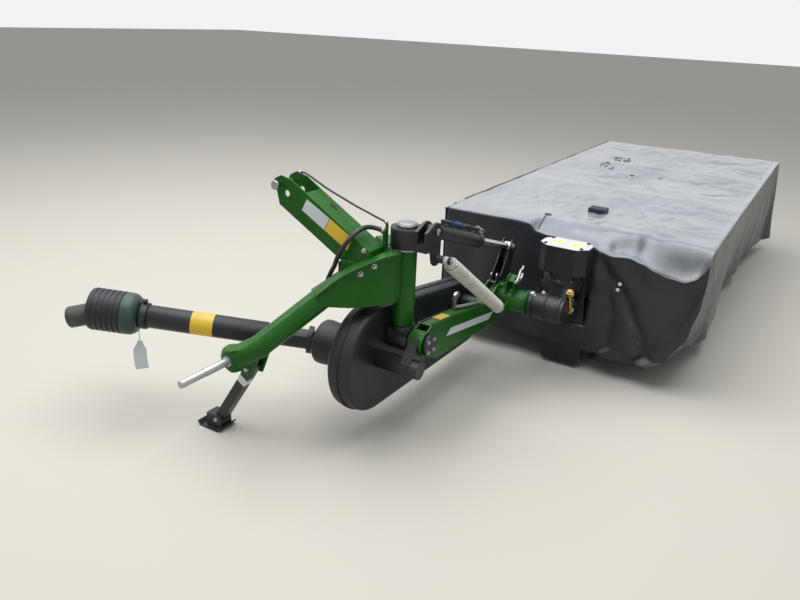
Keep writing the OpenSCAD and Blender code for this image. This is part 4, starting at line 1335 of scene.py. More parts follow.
@dataclass
class ArmDetails:
    """Blank films, hook, brackets, bolts and welds of the arm."""

    side: float = 112.0
    white_film: Table = ((162, 397), (201, 421), (628, 353), (582, 328))
    yellow_film: Table = ((54, 128), (54, 214), (106, 214), (106, 128))

    def build(self) -> None:
        """Adds every detail of the arm."""
        self.add_films()
        self.add_hook()
        self.add_brackets()
        self.add_welds()
        self.add_bolts()

    def add_films(self) -> None:
        """Adds the blank films on the arm's side and top."""
        shape = Shape()
        shape.slab([at(self.side - 0.2, y, z) for y, z in self.white_film], Vector((0.0008, 0, 0)), 0.004)
        shape.join("arm_film_white", "arm", WHITE_LABEL)
        shape = Shape()
        outline = [at(x, y, 488 - (y - 40) * 0.125 + 0.1) for x, y in self.yellow_film]
        shape.slab(outline, Vector((0, 0, 0.0008)), 0.004)
        shape.join("arm_film_yellow", "arm", YELLOW_LABEL)

    def add_hook(self) -> None:
        """Adds the bent silver latch plate on the arm's top."""
        shape = Shape()
        outline = [(300, 452), (300, 505), (306, 520), (318, 528), (334, 528), (344, 520), (346, 508),
                   (332, 503), (322, 494), (318, 470), (322, 452)]
        shape.slab([at(60, y, z) for y, z in outline], Vector((0.012, 0, 0)))
        path = [at(64, 312, 462), at(68, 330, 458), at(84, 400, 448), at(94, 470, 438), at(96, 500, 436)]
        shape.sweep(smooth_path(path, 6), 0.009, 14)
        shape.join("latch_hook", "arm", STEEL, bevel=0.0012)

    def add_brackets(self) -> None:
        """Adds the hose clip and the gusset with its silver clips."""
        shape = Shape()
        for x in (66, 92):
            shape.slab([at(x, y, z) for y, z in
                        ((664, 474), (664, 512), (672, 520), (684, 520), (690, 512), (690, 474))],
                       Vector((0.004, 0, 0)))
        shape.slab([at(66, 664, 474), at(96, 664, 474), at(96, 690, 474), at(66, 690, 474)],
                   Vector((0, 0, 0.005)))
        for a, b in (((196, 656, 500), (196, 700, 548)), ((196, 700, 548), (196, 728, 560)),
                     ((196, 690, 498), (196, 730, 524)), ((196, 648, 508), (196, 690, 486))):
            shape.sweep([at(*a), at(*a).lerp(at(*b), 0.5) + Vector((0.003, 0, 0)), at(*b)], 0.0065, 10)
        shape.lathe([(-0.004, 0.011), (0.010, 0.011), (0.012, 0.008)], at(194, 690, 506), X_AXIS, 20)
        shape.join("silver_clips", "arm", STEEL, bevel=0.0008)
        shape = Shape()
        for x in (146, 182):
            shape.slab([at(x, y, z) for y, z in
                        ((652, 440), (656, 500), (668, 520), (700, 528), (724, 518), (736, 440))],
                       Vector((0.008, 0, 0)))
        shape.slab([at(150, 664, 496), at(186, 664, 496), at(186, 704, 516), at(150, 704, 516)],
                   Vector((0, 0, 0.006)))
        shape.join("clip_post", "arm", GREEN, bevel=0.0015)

    def add_welds(self) -> None:
        """Lays the beads along the arm's seams."""
        shape = Shape()
        top = [(46, 488), (216, 466.5), (556, 417)]
        for x in (57.5, 104.5):
            shape.weld([at(x, y, z) for y, z in top], 0.003)
        ring = [Vector((0, math.cos(a), math.sin(a))) * 0.0525 for a in (math.pi * i / 14 for i in range(29))]
        shape.weld([at(self.side, *PIVOT) + p for p in ring], 0.0035)
        shape.join("arm_welds", "arm", GREEN, angle=80)

    def add_bolts(self) -> None:
        """Adds the bolts of the lever and of the journal's cap, and the eye pin's ends."""
        shape = Shape()
        for y, z in ((700, 462), (742, 452)):
            shape.hexagon(at(self.side, y, z), X_AXIS, 0.017, 0.010)
            shape.hexagon(at(50, y, z), -X_AXIS, 0.017, 0.010)
        shape.lathe([(0.0, 0.016), (0.004, 0.016), (0.006, 0.012)], at(self.side, *LIFT_EYE), X_AXIS, 28)
        shape.lathe([(0.0, 0.012), (0.004, 0.012)], at(240, 760, 400), X_AXIS, 20)
        shape.join("arm_bolts", "arm", STEEL)
        shape = Shape()
        for i in range(4):
            a = math.pi * (0.25 + 0.5 * i)
            y, z = HINGE[0] + 30 * math.cos(a), HINGE[1] + 30 * math.sin(a)
            shape.hexagon(at(129.5, y, z), X_AXIS, 0.013, 0.007)
        shape.join("journal_cap_bolts", "swivel", STEEL)
        self.add_hub_rings()

    def add_hub_rings(self) -> None:
        """Adds the cast rings on both halves of the bed's pivot."""
        shape = Shape()
        shape.ring(soft_band(0.012, 0.0515, 0.060), at(236, *PIVOT), X_AXIS, 48)
        shape.ring(band(0.0, 0.008, 0.0515, 0.056), at(120, *PIVOT), X_AXIS, 48)
        shape.join("hub_rings", "arm", GREEN, bevel=0.001)
        shape = Shape()
        for x, wide in ((258, 18), (330, 9), (392, 14)):
            shape.ring(soft_band(wide / 1000, 0.0565, 0.063), at(x, *PIVOT), X_AXIS, 48)
        shape.join("bracket_rings", "bed", BLACK_PAINT, bevel=0.001)


# Drive shaft

@dataclass
class ShaftDetails:
    """Ring, band, collar and tag of the drive shaft's guard."""

    joint: Triple = (-300.0, -80.0, 345.0)
    yaw: float = 210.0
    rise: float = 6.0

    def on_shaft(self, way: float, side: float = 0.0, up: float = 0.0) -> Vector:
        """Gives a place by its way along the shaft and its offset across it.

        Args:
            way: millimetres from the universal joint.
            side: millimetres to the level side.
            up: millimetres across the shaft, upwards.

        Returns:
            The place.
        """
        yaw, rise = math.radians(self.yaw), math.radians(self.rise)
        run = Vector((math.cos(yaw) * math.cos(rise), math.sin(yaw) * math.cos(rise), math.sin(rise)))
        level = Vector((-math.sin(yaw), math.cos(yaw), 0))
        return at(*self.joint) + (run * way + level * side + run.cross(level) * up) * 0.001

    def build(self) -> None:
        """Adds the green ring, the blank band, the collar and the tag."""
        run = (self.on_shaft(1) - self.on_shaft(0)).normalized()
        shape = Shape()
        lip = [(0.0, 0.048), (0.0, 0.060), (0.006, 0.070), (0.020, 0.0805), (0.030, 0.0845), (0.056, 0.0862),
               (0.060, 0.0850), (0.060, 0.0815), (0.022, 0.0775), (0.008, 0.062)]
        shape.ring(lip, self.on_shaft(766), run, 56)
        shape.join("cone_ring", "shaft_far_half", RING_GREEN, angle=40)
        shape = Shape()
        shape.ring(band(0.0, 0.090, 0.0470, 0.0476), self.on_shaft(465), run, 48)
        shape.join("guard_band", "shaft_far_half", YELLOW_LABEL, angle=30)
        self.add_knob(run)
        self.add_tag()

    def add_knob(self, run: Vector) -> None:
        """Adds the locking knob and the collar behind the cone.

        Args:
            run: the direction along the shaft.
        """
        shape = Shape()
        shape.ring(soft_band(0.030, 0.0472, 0.0545, 0.004), self.on_shaft(733), run, 48)
        up = self.on_shaft(0, 0, 1) - self.on_shaft(0)
        shape.lathe([(0.050, 0.008), (0.062, 0.008), (0.063, 0.011), (0.069, 0.011), (0.071, 0.008)],
                    self.on_shaft(748), up, 20)
        for side in (-1, 1):
            pad = [self.on_shaft(738 + w, side * 53, u) for w, u in ((0, -9), (20, -9), (20, 9), (0, 9))]
            shape.slab(pad, self.on_shaft(0, side * 5) - self.on_shaft(0))
        shape.join("cone_collar", "shaft_far_half", BLACK_PLASTIC, bevel=0.001)

    def add_tag(self) -> None:
        """Adds the blank tag that hangs from the collar on its tie."""
        top = self.on_shaft(772, 10, -62)
        shape = Shape()
        tie = [top + Vector(p) for p in ((0, 0, 0.012), (0.001, 0.001, -0.016), (0.000, 0.003, -0.052))]
        shape.sweep(smooth_path(tie, 6), 0.0012, 8)
        shape.join("tag_tie", "shaft_far_half", BLACK_PLASTIC)
        shape = Shape()
        rows = 14
        grid = []
        for i in range(rows + 1):
            down = i / rows
            wide = lerp(0.020, 0.056, smooth(down * 3))
            bow = 0.008 * math.sin(down * 3.0)
            base = top + Vector((0, 0.003, -0.050 - 0.128 * down))
            grid.append([base + Vector((wide * off * 0.86 + bow * 0.4, wide * off * 0.5 - bow,
                                        0.012 * off * down)) for off in (k / 6 - 0.5 for k in range(7))])
        back = [[p + Vector((0.0004, -0.0006, 0)) for p in row] for row in grid]
        shape.loft([front + list(reversed(rear)) for front, rear in zip(grid, back)])
        shape.join("blank_tag", "shaft_far_half", WHITE_LABEL, angle=60)


# Stand and bed

@dataclass
class SmallParts:
    """Trim of the stand, the gearbox, its guard and the bed's bracket."""

    gearbox: Pair = (335.0, 885.0)
    guard_top: float = 658.0

    def build(self) -> None:
        """Adds the trim."""
        self.add_stand_trim()
        self.add_clamp_bolt()
        self.add_guard_top()
        self.add_bracket_bolts()

    def add_stand_trim(self) -> None:
        """Adds the pale band round the stand's tube and its foot's bolts."""
        shape = Shape()
        foot, top = at(-631, -396, 0), at(-420, -396, 330)
        run = (foot - top).normalized()
        across = run.cross(Y_AXIS).normalized()
        centre = top + run * 0.062
        rings = []
        for way in (0.0, 0.034):
            rings.append([centre + run * way + (across * sx + Y_AXIS * sy) * 0.0206 for sx, sy in
                          ((-1, -1), (1, -1), (1, 1), (-1, 1))])
        shape.loft(rings, capped=False)
        shape.join("stand_band", "stand", WHITE_LABEL, angle=30)
        shape = Shape()
        for side in (-1, 1):
            shape.hexagon(at(-604, -396 + side * 30, 44), Y_AXIS * side, 0.013, 0.008)
        shape.join("stand_bolts", "stand", STEEL)

    def add_clamp_bolt(self) -> None:
        """Adds the long yellow bolt of the bracket's clamp."""
        low, high = at(424, 775, 374), at(424, 730, 489)
        run = (high - low).normalized()
        shape = Shape()
        shape.lathe([(0.0, 0.0082), ((high - low).length, 0.0082)], low, run, 24)
        shape.hexagon(low.lerp(high, 0.16), -run, 0.024, 0.013)
        shape.hexagon(low.lerp(high, 0.86), run, 0.024, 0.013)
        shape.hexagon(low.lerp(high, 0.98), run, 0.024, 0.010)
        shape.join("clamp_bolt", "bed", BRASS)

    def add_guard_top(self) -> None:
        """Adds the pale plate, two blank films and the screws on the gearbox guard."""
        cx, cy = self.gearbox
        hx, hy, cut = 114, 77, 43
        outline = [(-hx, -hy + cut), (-hx + cut, -hy), (hx - cut, -hy), (hx, -hy + cut),
                   (hx, hy - cut), (hx - cut, hy), (-hx + cut, hy), (-hx, hy - cut)]
        shape = Shape()
        plate = [at(cx + x, cy + y, self.guard_top - 0.2) for x, y in outline]
        shape.slab(plate, Vector((0, 0, 0.0016)), 0.012)
        shape.join("guard_top_plate", "bed", WHITE_LABEL)
        shape = Shape()
        for x0, x1 in ((-74, -12), (12, 74)):
            shape.slab([at(cx + x, cy + y, self.guard_top + 1.3) for x, y in
                        ((x0, -26), (x1, -26), (x1, 34), (x0, 34))], Vector((0, 0, 0.0006)), 0.01)
        shape.join("guard_top_films", "bed", YELLOW_PALE)
        shape = Shape()
        for x, y in ((-84, -52), (84, -52), (-84, 52), (84, 52)):
            shape.hexagon(at(cx + x, cy + y, self.guard_top + 1.2), Z_AXIS, 0.012, 0.006)
        shape.join("guard_top_screws", "bed", BLACK_PAINT)

    def add_bracket_bolts(self) -> None:
        """Adds the silver bolts of the bracket and the gearbox's flanges."""
        shape = Shape()
        shape.hexagon(at(268, 690, 452), Vector((0, -0.4, 1)), 0.020, 0.012)
        shape.hexagon(at(300, 746, 443), Vector((0, 0.6, 1)), 0.022, 0.014)
        cx, cy = self.gearbox
        for i in range(6):
            a = math.pi * (i + 0.5) / 3
            shape.hexagon(at(cx + 61 * math.cos(a), cy + 61 * math.sin(a), 384), Z_AXIS, 0.010, 0.006)
            shape.hexagon(at(cx + 56.5 * math.cos(a), cy + 56.5 * math.sin(a), 490), Z_AXIS, 0.010, 0.006)
        shape.join("bracket_bolts", "bed", STEEL)


# Cover

@dataclass
class CoverRails:
    """Round rails that carry the cover, their posts and the eyes of the front curtain's bar."""

    height: float = 680.5
    radius: float = 17.0
    front: float = FRONT_RAIL
    rear: float = REAR_RAIL
    first: float = 992.0
    rear_first: float = 1088.0
    last: float = 3858.0
    cross: tuple[float, ...] = CROSS_RAILS
    eyes: tuple[float, ...] = (1100.0, 2425.0, 3700.0)
    post_foot: float = 545.0
    post_x: float = 335.0

    def build(self) -> None:
        """Builds the rails, the posts, the eyes and the weld beads."""
        shape = Shape()
        shape.sweep(self.rail(self.front, self.first), self.radius / 1000, 20)
        shape.sweep(self.rail(self.rear, self.rear_first), self.radius / 1000, 20)
        for y in self.cross:
            drop = 14 if y == self.cross[0] else 0
            path = [at(self.front, y, self.height), at(self.front + 60, y, self.height - drop),
                    at(self.rear - 60, y, self.height - drop), at(self.rear, y, self.height)]
            shape.sweep(path, (self.radius - 1) / 1000, 20)
            post = [at(self.post_x, y, z) for z in (self.post_foot, self.height - drop)]
            shape.sweep(post, 0.014, 20)
            foot = [Vector((math.cos(a), math.sin(a), 0)) * 0.0155
                    for a in (math.pi * i / 10 for i in range(21))]
            shape.weld([at(self.post_x, y, self.post_foot + 1) + p for p in foot], 0.0035)
        for y in self.eyes:
            shape.ring([(-0.012, 0.0064), (0.012, 0.0064), (0.012, 0.0100), (-0.012, 0.0100)],
                       at(BAR_X, y, BAR_Z), Y_AXIS, 24)
            plate = [at(x, y + side, 680) for x, side in ((-343, -12), (-328, -12), (-328, 12), (-343, 12))]
            shape.slab(plate, Vector((0, 0, 0.007)))
        piece = shape.join("cover_rails_round", "bed", BLACK_PAINT, bevel=0.0012, angle=50)
        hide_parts("cover_rails")

    def rail(self, x: float, start: float) -> list[Vector]:
        """Gives the centre line of a long rail from its near end to its far end."""
        return [at(x, lerp(start, self.last, i / 6), self.height) for i in range(7)]


@dataclass
class Cover:
    """The bed's cloth cover: one sheet over the rails with its hanging sides, and the front curtain."""

    front: float = -340.0
    rear: float = 941.0
    inner: float = 985.0
    outer: float = 3865.0
    top: float = 700.5
    hem: float = 106.0
    cell: float = 14.0
    rows: int = 44
    flap_rows: int = 36
    flap_columns: int = 200
    thickness: float = 0.0022
    first_rail: float = CROSS_RAILS[0]
    rail_step: float = 887.3
    rear_rail_start: float = 1110.0
    rail_round: float = 0.02
    opening: tuple[float, float, float, float] = (210.0, 442.0, 240.0, 612.0)
    inner_edge: Table = (
        (-340, 699), (-320, 701), (-120, 701), (13, 703), (110, 698), (140, 664), (203, 654), (300, 656),
        (418, 644), (469, 622), (518, 612), (598, 619), (658, 604), (719, 580), (777, 565), (849, 558),
        (895, 578), (925, 616), (941, 664))
    slope_start: Table = (
        (-340, 1004), (90, 1010), (150, 1150), (386, 1172), (494, 1160), (655, 1132), (737, 1120),
        (830, 1118), (941, 1096))
    corner: Table = ((0.0, 941), (0.16, 945), (0.34, 940), (0.6, 913), (0.86, 846), (1.0, 742))
    inner_hem: Table = ((-340, 985), (420, 986), (620, 974), (742, 962))
    inner_hem_height: Table = ((200, 120), (460, 104), (760, 98))
    rear_hem: Table = (
        (970, 742), (1100, 790), (1250, 838), (1400, 892), (1543, 930), (1873, 905), (2329, 866), (2935, 880),
        (3500, 905), (3790, 950), (3920, 985))
    creases: tuple[tuple[float, float, float, float, float, float], ...] = (
        (-33, 2320, 147, 2573, 26, 5), (680, 2295, 926, 2493, 18, 6), (569, 2608, 879, 2893, 24, 6),
        (527, 3549, 759, 3530, 30, 7), (759, 3530, 926, 3860, 24, 8), (-229, 3537, -99, 3543, 20, 5),
        (278, 2785, 440, 2596, 22, 5), (440, 2596, 681, 2608, 24, 5), (791, 2197, 937, 2458, 16, 5),
        (765, 2091, 934, 2366, 15, 6), (704, 1842, 780, 1960, 13, 5), (723, 1402, 914, 1533, 20, 8),
        (675, 2326, 857, 2382, 18, 6), (667, 1354, 650, 1560, 14, 6), (386, 1300, 737, 1165, 24, 6),
        (137, 1967, 189, 2417, 60, 7), (189, 2417, 278, 2785, 70, 8), (278, 2785, 275, 3375, 90, 8),
        (225, 1070, 232, 1395, 46, 5), (560, 1500, 700, 1640, 20, 4), (500, 1700, 760, 1760, 26, 4))
    swells: tuple[tuple[float, float, float, float], ...] = (
        (0.0032, 0.0012, 3.1, 15.0), (0.010, 0.0040, 8.4, 6.4), (0.024, 0.0090, 1.7, 2.2))
    dents: tuple[tuple[float, float, float, float], ...] = (
        (536, 1045, 34, 16), (655, 1078, 52, 28), (905, 1030, 30, 12), (760, 1040, 60, -12),
        (480, 1040, 40, -12), (330, 1080, 60, -9), (590, 1090, 40, -12), (700, 1180, 50, 9))

    def build(self) -> None:
        """Builds the cover, its seams and the front curtain."""
        self.add_sheet()
        self.add_front_curtain()
        self.add_caps()
        self.add_seam()
        self.add_front_rail_sleeve()

    def cells(self) -> tuple[int, int]:
        """Returns how many cells the top has across the bed and along it."""
        return int((self.rear - self.front) / self.cell), int((self.outer - self.inner) / self.cell)

    def depth_share(self, x: float) -> float:
        """Returns how far x lies from the front edge to the rear edge, as a share."""
        return (x - self.front) / (self.rear - self.front)

    def on_inner_edge(self, y: float) -> bool:
        """Tells whether a point of the top's edge lies on the inner edge."""
        return y <= self.inner + EDGE_REACH

    def on_rear_edge(self, x: float) -> bool:
        """Tells whether a point of the top's edge lies on the rear edge."""
        return x >= self.rear - EDGE_REACH

    def top_height(self, x: float, y: float) -> float:
        """Gives the height of the top.

        Args:
            x: place across the bed.
            y: place along the bed.

        Returns:
            The height in millimetres.
        """
        across = math.sin(math.pi * min(1, max(0, self.depth_share(x))))
        bay = max(0.0, (y - self.first_rail) / self.rail_step) % 1.0
        along = math.sin(math.pi * bay)
        sag = 26 * across ** 0.6 * along
        small = 0.0
        for x_rate, y_rate, layer, strength in self.swells:
            small += noise.noise(Vector((x * x_rate, y * y_rate, layer))) * strength
        small += self.sharp_ridges(x, y) + self.rear_gathers(x, y) - self.crease_depth(x, y)
        height = self.top - sag + small * max(across, 0.15) ** 0.5 * min(1.0, 0.35 + along)
        start = table_value(self.slope_start, x)
        near = smooth((start - y) / (start - self.inner)) ** 1.15
        height = lerp(height, table_value(self.inner_edge, x), near)
        for dent_x, dent_y, wide, deep in self.dents:
            far = ((x - dent_x) ** 2 + (y - dent_y) ** 2) / wide ** 2
            if far < 6:
                height -= deep * math.exp(-far) * smooth((y - self.inner) / 24)
        return max(height, self.rail_support(x, y))

    def rail_support(self, x: float, y: float) -> float:
        """Gives the height under which the cloth can't sink, because a rail holds it.

        Args:
            x: place across the bed.
            y: place along the bed.

        Returns:
            The height in millimetres.
        """
        held = 0.0
        if y > self.rear_rail_start:
            held = self.top + 1 - self.rail_round * (x - REAR_RAIL) ** 2
        held = max(held, self.top + 1 - self.rail_round * (x - FRONT_RAIL) ** 2)
        for rail in CROSS_RAILS[1:]:
            held = max(held, self.top - self.rail_round * (y - rail) ** 2)
        return held

    def crease_depth(self, x: float, y: float) -> float:
        """Gives how deep the single creases lie at a point of the top.

        Args:
            x: place across the bed.
            y: place along the bed.

        Returns:
            The depth in millimetres.
        """
        deep = 0.0
        for x0, y0, x1, y1, wide, depth in self.creases:
            run = (x1 - x0, y1 - y0)
            share = ((x - x0) * run[0] + (y - y0) * run[1]) / (run[0] ** 2 + run[1] ** 2)
            share = min(1.0, max(0.0, share))
            away = math.hypot(x - x0 - run[0] * share, y - y0 - run[1] * share)
            if away < 3 * wide:
                fade = math.sin(math.pi * min(0.96, max(0.04, share)))
                deep += 2.3 * depth * math.exp(-(away / wide) ** 2) * (0.35 + 0.65 * fade)
        return deep

    def sharp_ridges(self, x: float, y: float) -> float:
        """Gives the height of the sharp wrinkles that run slantwise over the top.

        Args:
            x: place across the bed.
            y: place along the bed.

        Returns:
            The height that they add in millimetres.
        """
        wide = noise.noise(Vector((x * 0.0050 + y * 0.0019, y * 0.0011 - x * 0.0016, 6.6)))
        fine = noise.noise(Vector((x * 0.0130 - y * 0.0030, y * 0.0035 + x * 0.0010, 2.9)))
        return 9.0 * max(0.0, 1 - 4.5 * abs(wide)) ** 1.5 + 5.5 * max(0.0, 1 - 4.0 * abs(fine)) ** 1.5

    def rear_gathers(self, x: float, y: float) -> float:
        """Gives the short wrinkles that run in from the rear rail.

        Args:
            x: place across the bed.
            y: place along the bed.

        Returns:
            The height that they add in millimetres.
        """
        away = self.rear - x
        lean = y - away * 0.55
        reach = 190 + 240 * noise.noise(Vector((lean * 0.004, 2.2, 0.4)))
        fade = max(0.0, 1 - away / max(80.0, reach * 1.6))
        ridges = noise.noise(Vector((away * 0.0012, lean * 0.021, 5.7)))
        fine = noise.noise(Vector((away * 0.003, lean * 0.052, 7.7)))
        return (27.0 * ridges + 12.0 * fine) * fade ** 1.2 * smooth(away / 40)

    def top_ring(self) -> list[Pair]:
        """Gives the top's edge from the front inner corner round to the front outer corner.

        Returns:
            The edge's points, across and along the bed.
        """
        nx, ny = self.cells()
        ring = [(lerp(self.front, self.rear, i / nx), self.inner) for i in range(nx)]
        ring += [(self.rear, lerp(self.inner, self.outer, j / ny)) for j in range(ny)]
        ring += [(lerp(self.rear, self.front, i / nx), self.outer) for i in range(nx + 1)]
        return ring

    def hem_point(self, x: float, y: float) -> Triple:
        """Gives the point of the hem under a point of the top's edge.

        Args:
            x: place of the edge point across the bed.
            y: place of the edge point along the bed.

        Returns:
            The hem's x, y and z.
        """
        if self.on_inner_edge(y):
            hem_x = lerp(self.front, self.corner[-1][1], self.depth_share(x))
            return hem_x, table_value(self.inner_hem, hem_x), table_value(self.inner_hem_height, hem_x)
        if self.on_rear_edge(x):
            share = (y - self.inner) / (self.outer - self.inner)
            hem_y = lerp(970, 3920, share ** 0.95)
            return table_value(self.rear_hem, hem_y), hem_y, self.hem
        share = (self.rear - x) / (self.rear - self.front)
        return lerp(985, self.front, share), lerp(3920, 3950, smooth(share * 4)), self.hem

    def fold(self, x: float, y: float, down: float) -> float:
        """Gives how far the hanging cloth stands out in its folds.

        Args:
            x: place across the bed.
            y: place along the bed.
            down: 0 at the top edge, 1 at the hem.

        Returns:
            The distance outwards in millimetres.
        """
        if self.on_inner_edge(y):
            crease = math.exp(-((x - 560 - 420 * (down - 0.25)) / 30) ** 2) * 24 * smooth(down * 3)
            ends = smooth((1 - down) * 4)
            crease += math.exp(-((x - 905 + 90 * down) / 24) ** 2) * 12 * smooth(down * 4) * ends
            crease += math.exp(-((x - 470 - 190 * down) / 22) ** 2) * 15 * smooth(down * 5)
            swell = noise.noise(Vector((x * 0.006, down * 1.6, 2.2))) * 18 * smooth(down * 2)
            dent = math.exp(-((x - 640) / 50) ** 2 - ((down - 0.16) / 0.09) ** 2) * 12
            return swell - crease - dent
        wide = math.sin((y - 1500) * 0.0105) * 7 + noise.noise(Vector((y * 0.0042, down * 1.3, 9.0))) * 20
        wide += noise.noise(Vector((y * 0.013, down * 0.9, 4.0))) * 7
        near = math.exp(-((y - 1030 - 480 * down) / 60) ** 2) * 12
        return wide * down ** 1.2 + near * smooth(down * 2.5) * smooth((1 - down) * 4)

    def add_sheet(self) -> None:
        """Builds the sheet: its top, its three hanging sides and the opening round the gearbox."""
        shape = Shape()
        bm = shape.bm
        nx, ny = self.cells()
        grid: dict[tuple[int, int], bmesh.types.BMVert] = {}
        for i in range(nx + 1):
            for j in range(ny + 1):
                x = lerp(self.front, self.rear, i / nx)
                y = lerp(self.inner, self.outer, j / ny)
                grid[i, j] = bm.verts.new(at(x, y, self.top_height(x, y)))
        for i in range(nx):
            for j in range(ny):
                bm.faces.new((grid[i, j], grid[i + 1, j], grid[i + 1, j + 1], grid[i, j + 1]))
        edge = [grid[i, 0] for i in range(nx)] + [grid[nx, j] for j in range(ny)]
        edge += [grid[nx - i, ny] for i in range(nx + 1)]
        above = edge
        ring = self.top_ring()
        for row in range(1, self.rows + 1):
            below = []
            for (x, y), vert in zip(ring, edge):
                below.append(bm.verts.new(self.side_point(x, y, vert.co, row / self.rows)))
            for k in range(len(edge) - 1):
                quad = (above[k], below[k], below[k + 1], above[k + 1])
                if not self.in_opening(quad):
                    bm.faces.new(quad)
            above = below
        self.trim_opening(bm)
        loose = [v for v in bm.verts if not v.link_faces]
        bmesh.ops.delete(bm, geom=loose, context="VERTS")
        near_edge = {v for v in edge if v.is_valid}
        around = set(near_edge)
        for v in near_edge:
            around |= {e.other_vert(v) for e in v.link_edges}
        for _ in range(2):
            bmesh.ops.smooth_vert(bm, verts=list(around), factor=0.5, use_axis_x=True, use_axis_y=True,
                                  use_axis_z=True)
        area = sum(f.calc_area() for f in bm.faces)
        piece = shape.join("cover_cloth", "bed", CLOTH, angle=70)
        thick = piece.modifiers.new("cloth_thickness", "SOLIDIFY")
        thick.thickness = self.thickness
        thick.offset = -1
        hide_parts("cover_sheet", "inner_curtain", "outer_curtain", "rear_curtain")

    def side_point(self, x: float, y: float, edge: Vector, down: float) -> Vector:
        """Gives a point of a hanging side.

        Args:
            x: place of the edge point across the bed.
            y: place of the edge point along the bed.
            edge: the edge point itself, in metres.
            down: 0 at the top edge, 1 at the hem.

        Returns:
            The point in metres.
        """
        low = at(*self.hem_point(x, y))
        point = edge.lerp(low, down)
        bow = table_value(self.corner, down) - lerp(self.corner[0][1], self.corner[-1][1], down)
        if self.on_inner_edge(y):
            point.x += bow * smooth((self.depth_share(x) - 0.35) / 0.65) * 0.001
            out = -Y_AXIS
        elif self.on_rear_edge(x):
            point.x += bow * (1 - smooth((y - self.inner) / 520)) * 0.001
            out = Vector((1, -0.25 * smooth((1500 - y) / 400), 0)).normalized()
        else:
            out = Y_AXIS
        return point + out * self.fold(x, y, down) * 0.001

    def in_opening(self, quad: tuple[bmesh.types.BMVert, ...]) -> bool:
        """Tells whether a face lies in the opening for the gearbox and its bracket.

        Args:
            quad: the face's four corners.

        Returns:
            True for a face in the opening.
        """
        x, y, z = (sum((v.co for v in quad), Vector()) / 4 - KINGPIN) * 1000
        x0, x1, z0, z1 = self.opening
        return y < 1000 and x0 < x < x1 and z0 < z < z1

    def trim_opening(self, bm: bmesh.types.BMesh) -> None:
        """Moves the opening's ragged edge onto straight lines.

        Args:
            bm: the sheet's mesh.
        """
        x0, x1, z0, z1 = self.opening
        for v in bm.verts:
            x, y, z = (v.co - KINGPIN) * 1000
            if y > 1005 or not v.is_boundary or z > z1 + 30 or z < z0 - 30 or not x0 - 30 < x < x1 + 30:
                continue
            _, line, value = min((abs(x - x0), "x", x0), (abs(x - x1), "x", x1),
                                 (abs(z - z0), "z", z0), (abs(z - z1), "z", z1))
            if line == "x":
                v.co.x = KINGPIN.x + value / 1000
            else:
                v.co.z = value / 1000

    def add_seam(self) -> None:
        """Adds the sewn welt along the near edge of the top, and the curtain's rivets."""
        shape = Shape()
        near = [at(x, self.inner - 1.2, table_value(self.inner_edge, x) - 3) for x in range(150, 925, 12)]
        shape.sweep(near, 0.0022, 8)
        shape.join("cover_seam", "bed", CLOTH, angle=70)
        shape = Shape()
        for x, z in ((576, 486), (570, 457)):
            shape.lathe([(-0.004, 0.0085), (0.001, 0.0085), (0.0025, 0.007), (0.003, 0.003)],
                        at(x, self.inner - 2, z), -Y_AXIS, 20)
        shape.join("curtain_rivets", "bed", WHITE_LABEL, angle=50)

    def add_front_rail_sleeve(self) -> None:
        """Adds a dark rubber-coloured tube along the front curtain's bar, under the top's front edge."""
        shape = Shape()
        path = [at(-354, lerp(1225, self.outer - 12, i / 30), 690 + 1.2 * math.sin(i * 1.7))
                for i in range(31)]
        shape.sweep(path, 0.0105, 14)
        shape.join("front_bar_dark_tube", "bed", HOSE, angle=60)

    def add_front_curtain(self) -> None:
        """Builds the front curtain on its hinge bar."""
        shape = Shape()
        shape.sweep([at(BAR_X, self.inner + 4, BAR_Z), at(BAR_X, self.outer - 10, BAR_Z)], 0.006, 16)
        front = []
        for row in range(self.flap_rows + 1):
            down = row / self.flap_rows
            line = []
            for k in range(self.flap_columns + 1):
                y = lerp(self.inner + 2, self.outer - 5 + 82 * down, k / self.flap_columns)
                z = lerp(681, self.hem + 6, down)
                wave = math.sin(y * 0.0125) * 5 + noise.noise(Vector((y * 0.005, down * 1.5, 4.4))) * 9
                line.append(at(-353 - wave * down ** 1.3 * 0.8 + 6 * down, y, z))
            front.append(line)
        bar_faces = len(shape.bm.faces)
        shape.loft(front, capped=False, closed=False)
        area = sum(f.calc_area() for f in list(shape.bm.faces)[bar_faces:])
        piece = shape.join("front_curtain_cloth", "front_flap", CLOTH, angle=70)
        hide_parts("front_curtain")

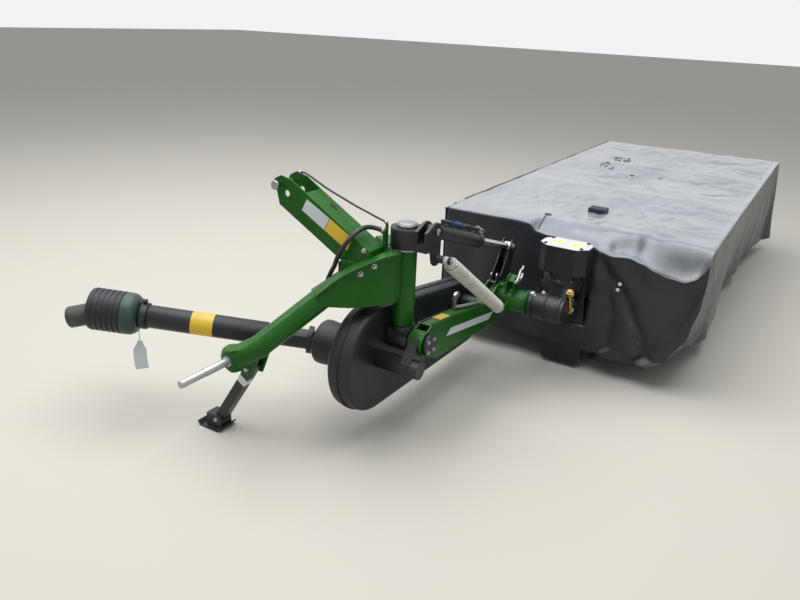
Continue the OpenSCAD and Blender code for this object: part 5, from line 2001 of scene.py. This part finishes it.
    def add_caps(self) -> None:
        """Adds the cap, the eyelet with its slit and the dirt on top of the cover."""
        shape = Shape()
        z = self.top_height(288, 1500)
        sides = ((-1, -1), (1, -1), (1, 1), (-1, 1))
        shape.loft([[at(288 + sx * w, 1500 + sy * d, z + h) for sx, sy in sides]
                    for w, d, h in ((46, 34, -4), (46, 34, 22), (43, 31, 27), (34, 22, 29))])
        shape.join("cover_cap", "bed", BLACK_PLASTIC, bevel=0.003)
        shape = Shape()
        place = at(128, 1172, self.top_height(128, 1172))
        shape.ring([(-0.002, 0.006), (0.003, 0.009), (0.003, 0.017), (-0.002, 0.021)], place, Z_AXIS, 28)
        slit = [at(x, y, self.top_height(x, y) + 0.6) for x, y in
                ((lerp(130, 146, t), lerp(1160, 1000, t)) for t in (i / 14 for i in range(15)))]
        shape.sweep(slit, 0.0028, 8)
        for x, y in ((161, 2662), (356, 2616)):
            place = at(x, y, self.top_height(x, y))
            shape.lathe([(-0.002, 0.014), (0.0015, 0.014), (0.003, 0.010)], place, Z_AXIS, 20)
        shape.join("cover_eyelets", "bed", BLACK_PLASTIC, angle=50)
        self.add_dirt()

    def add_dirt(self) -> None:
        """Adds the flat crumbs of dried mud that lie on the far part of the top."""
        shape = Shape()
        for x, y, wide in ((-36, 3120, 70), (-72, 2829, 40), (2, 2745, 26), (20, 3060, 34), (-90, 3190, 30)):
            for _ in range(16):
                cx = x + random.uniform(-0.6, 0.6) * wide
                cy = y + random.uniform(-1.6, 1.6) * wide
                z = self.top_height(cx, cy) + 0.5
                size = random.uniform(0.10, 0.34) * wide
                turn = random.uniform(0, 6.28)
                rim = [(cx + size * random.uniform(0.6, 1.1) * math.cos(turn + a),
                        cy + 1.5 * size * random.uniform(0.6, 1.1) * math.sin(turn + a))
                       for a in turn_angles(9)]
                shape.loft([[at(px, py, self.top_height(px, py) - 0.4) for px, py in rim],
                            [at(lerp(cx, px, 0.8), lerp(cy, py, 0.8), z + 1.2) for px, py in rim]])
        shape.join("dried_mud", "bed", MUD, angle=60)


def main() -> None:
    """Builds every sub-assembly in order."""
    logging.basicConfig(level=logging.INFO, format="%(message)s")
    random.seed(SEED)
    noise.seed_set(SEED)
    for assembly in (StudioSet(), HeadstockLines(), BeltDrive(), ReliefSpring(), HeadstockDetails(),
                     LiftDetails(), ArmDetails(), ShaftDetails(), SmallParts(), CoverRails(), Cover()):
        assembly.build()
    dress_nodes()


if __name__ == "__main__":
    main()
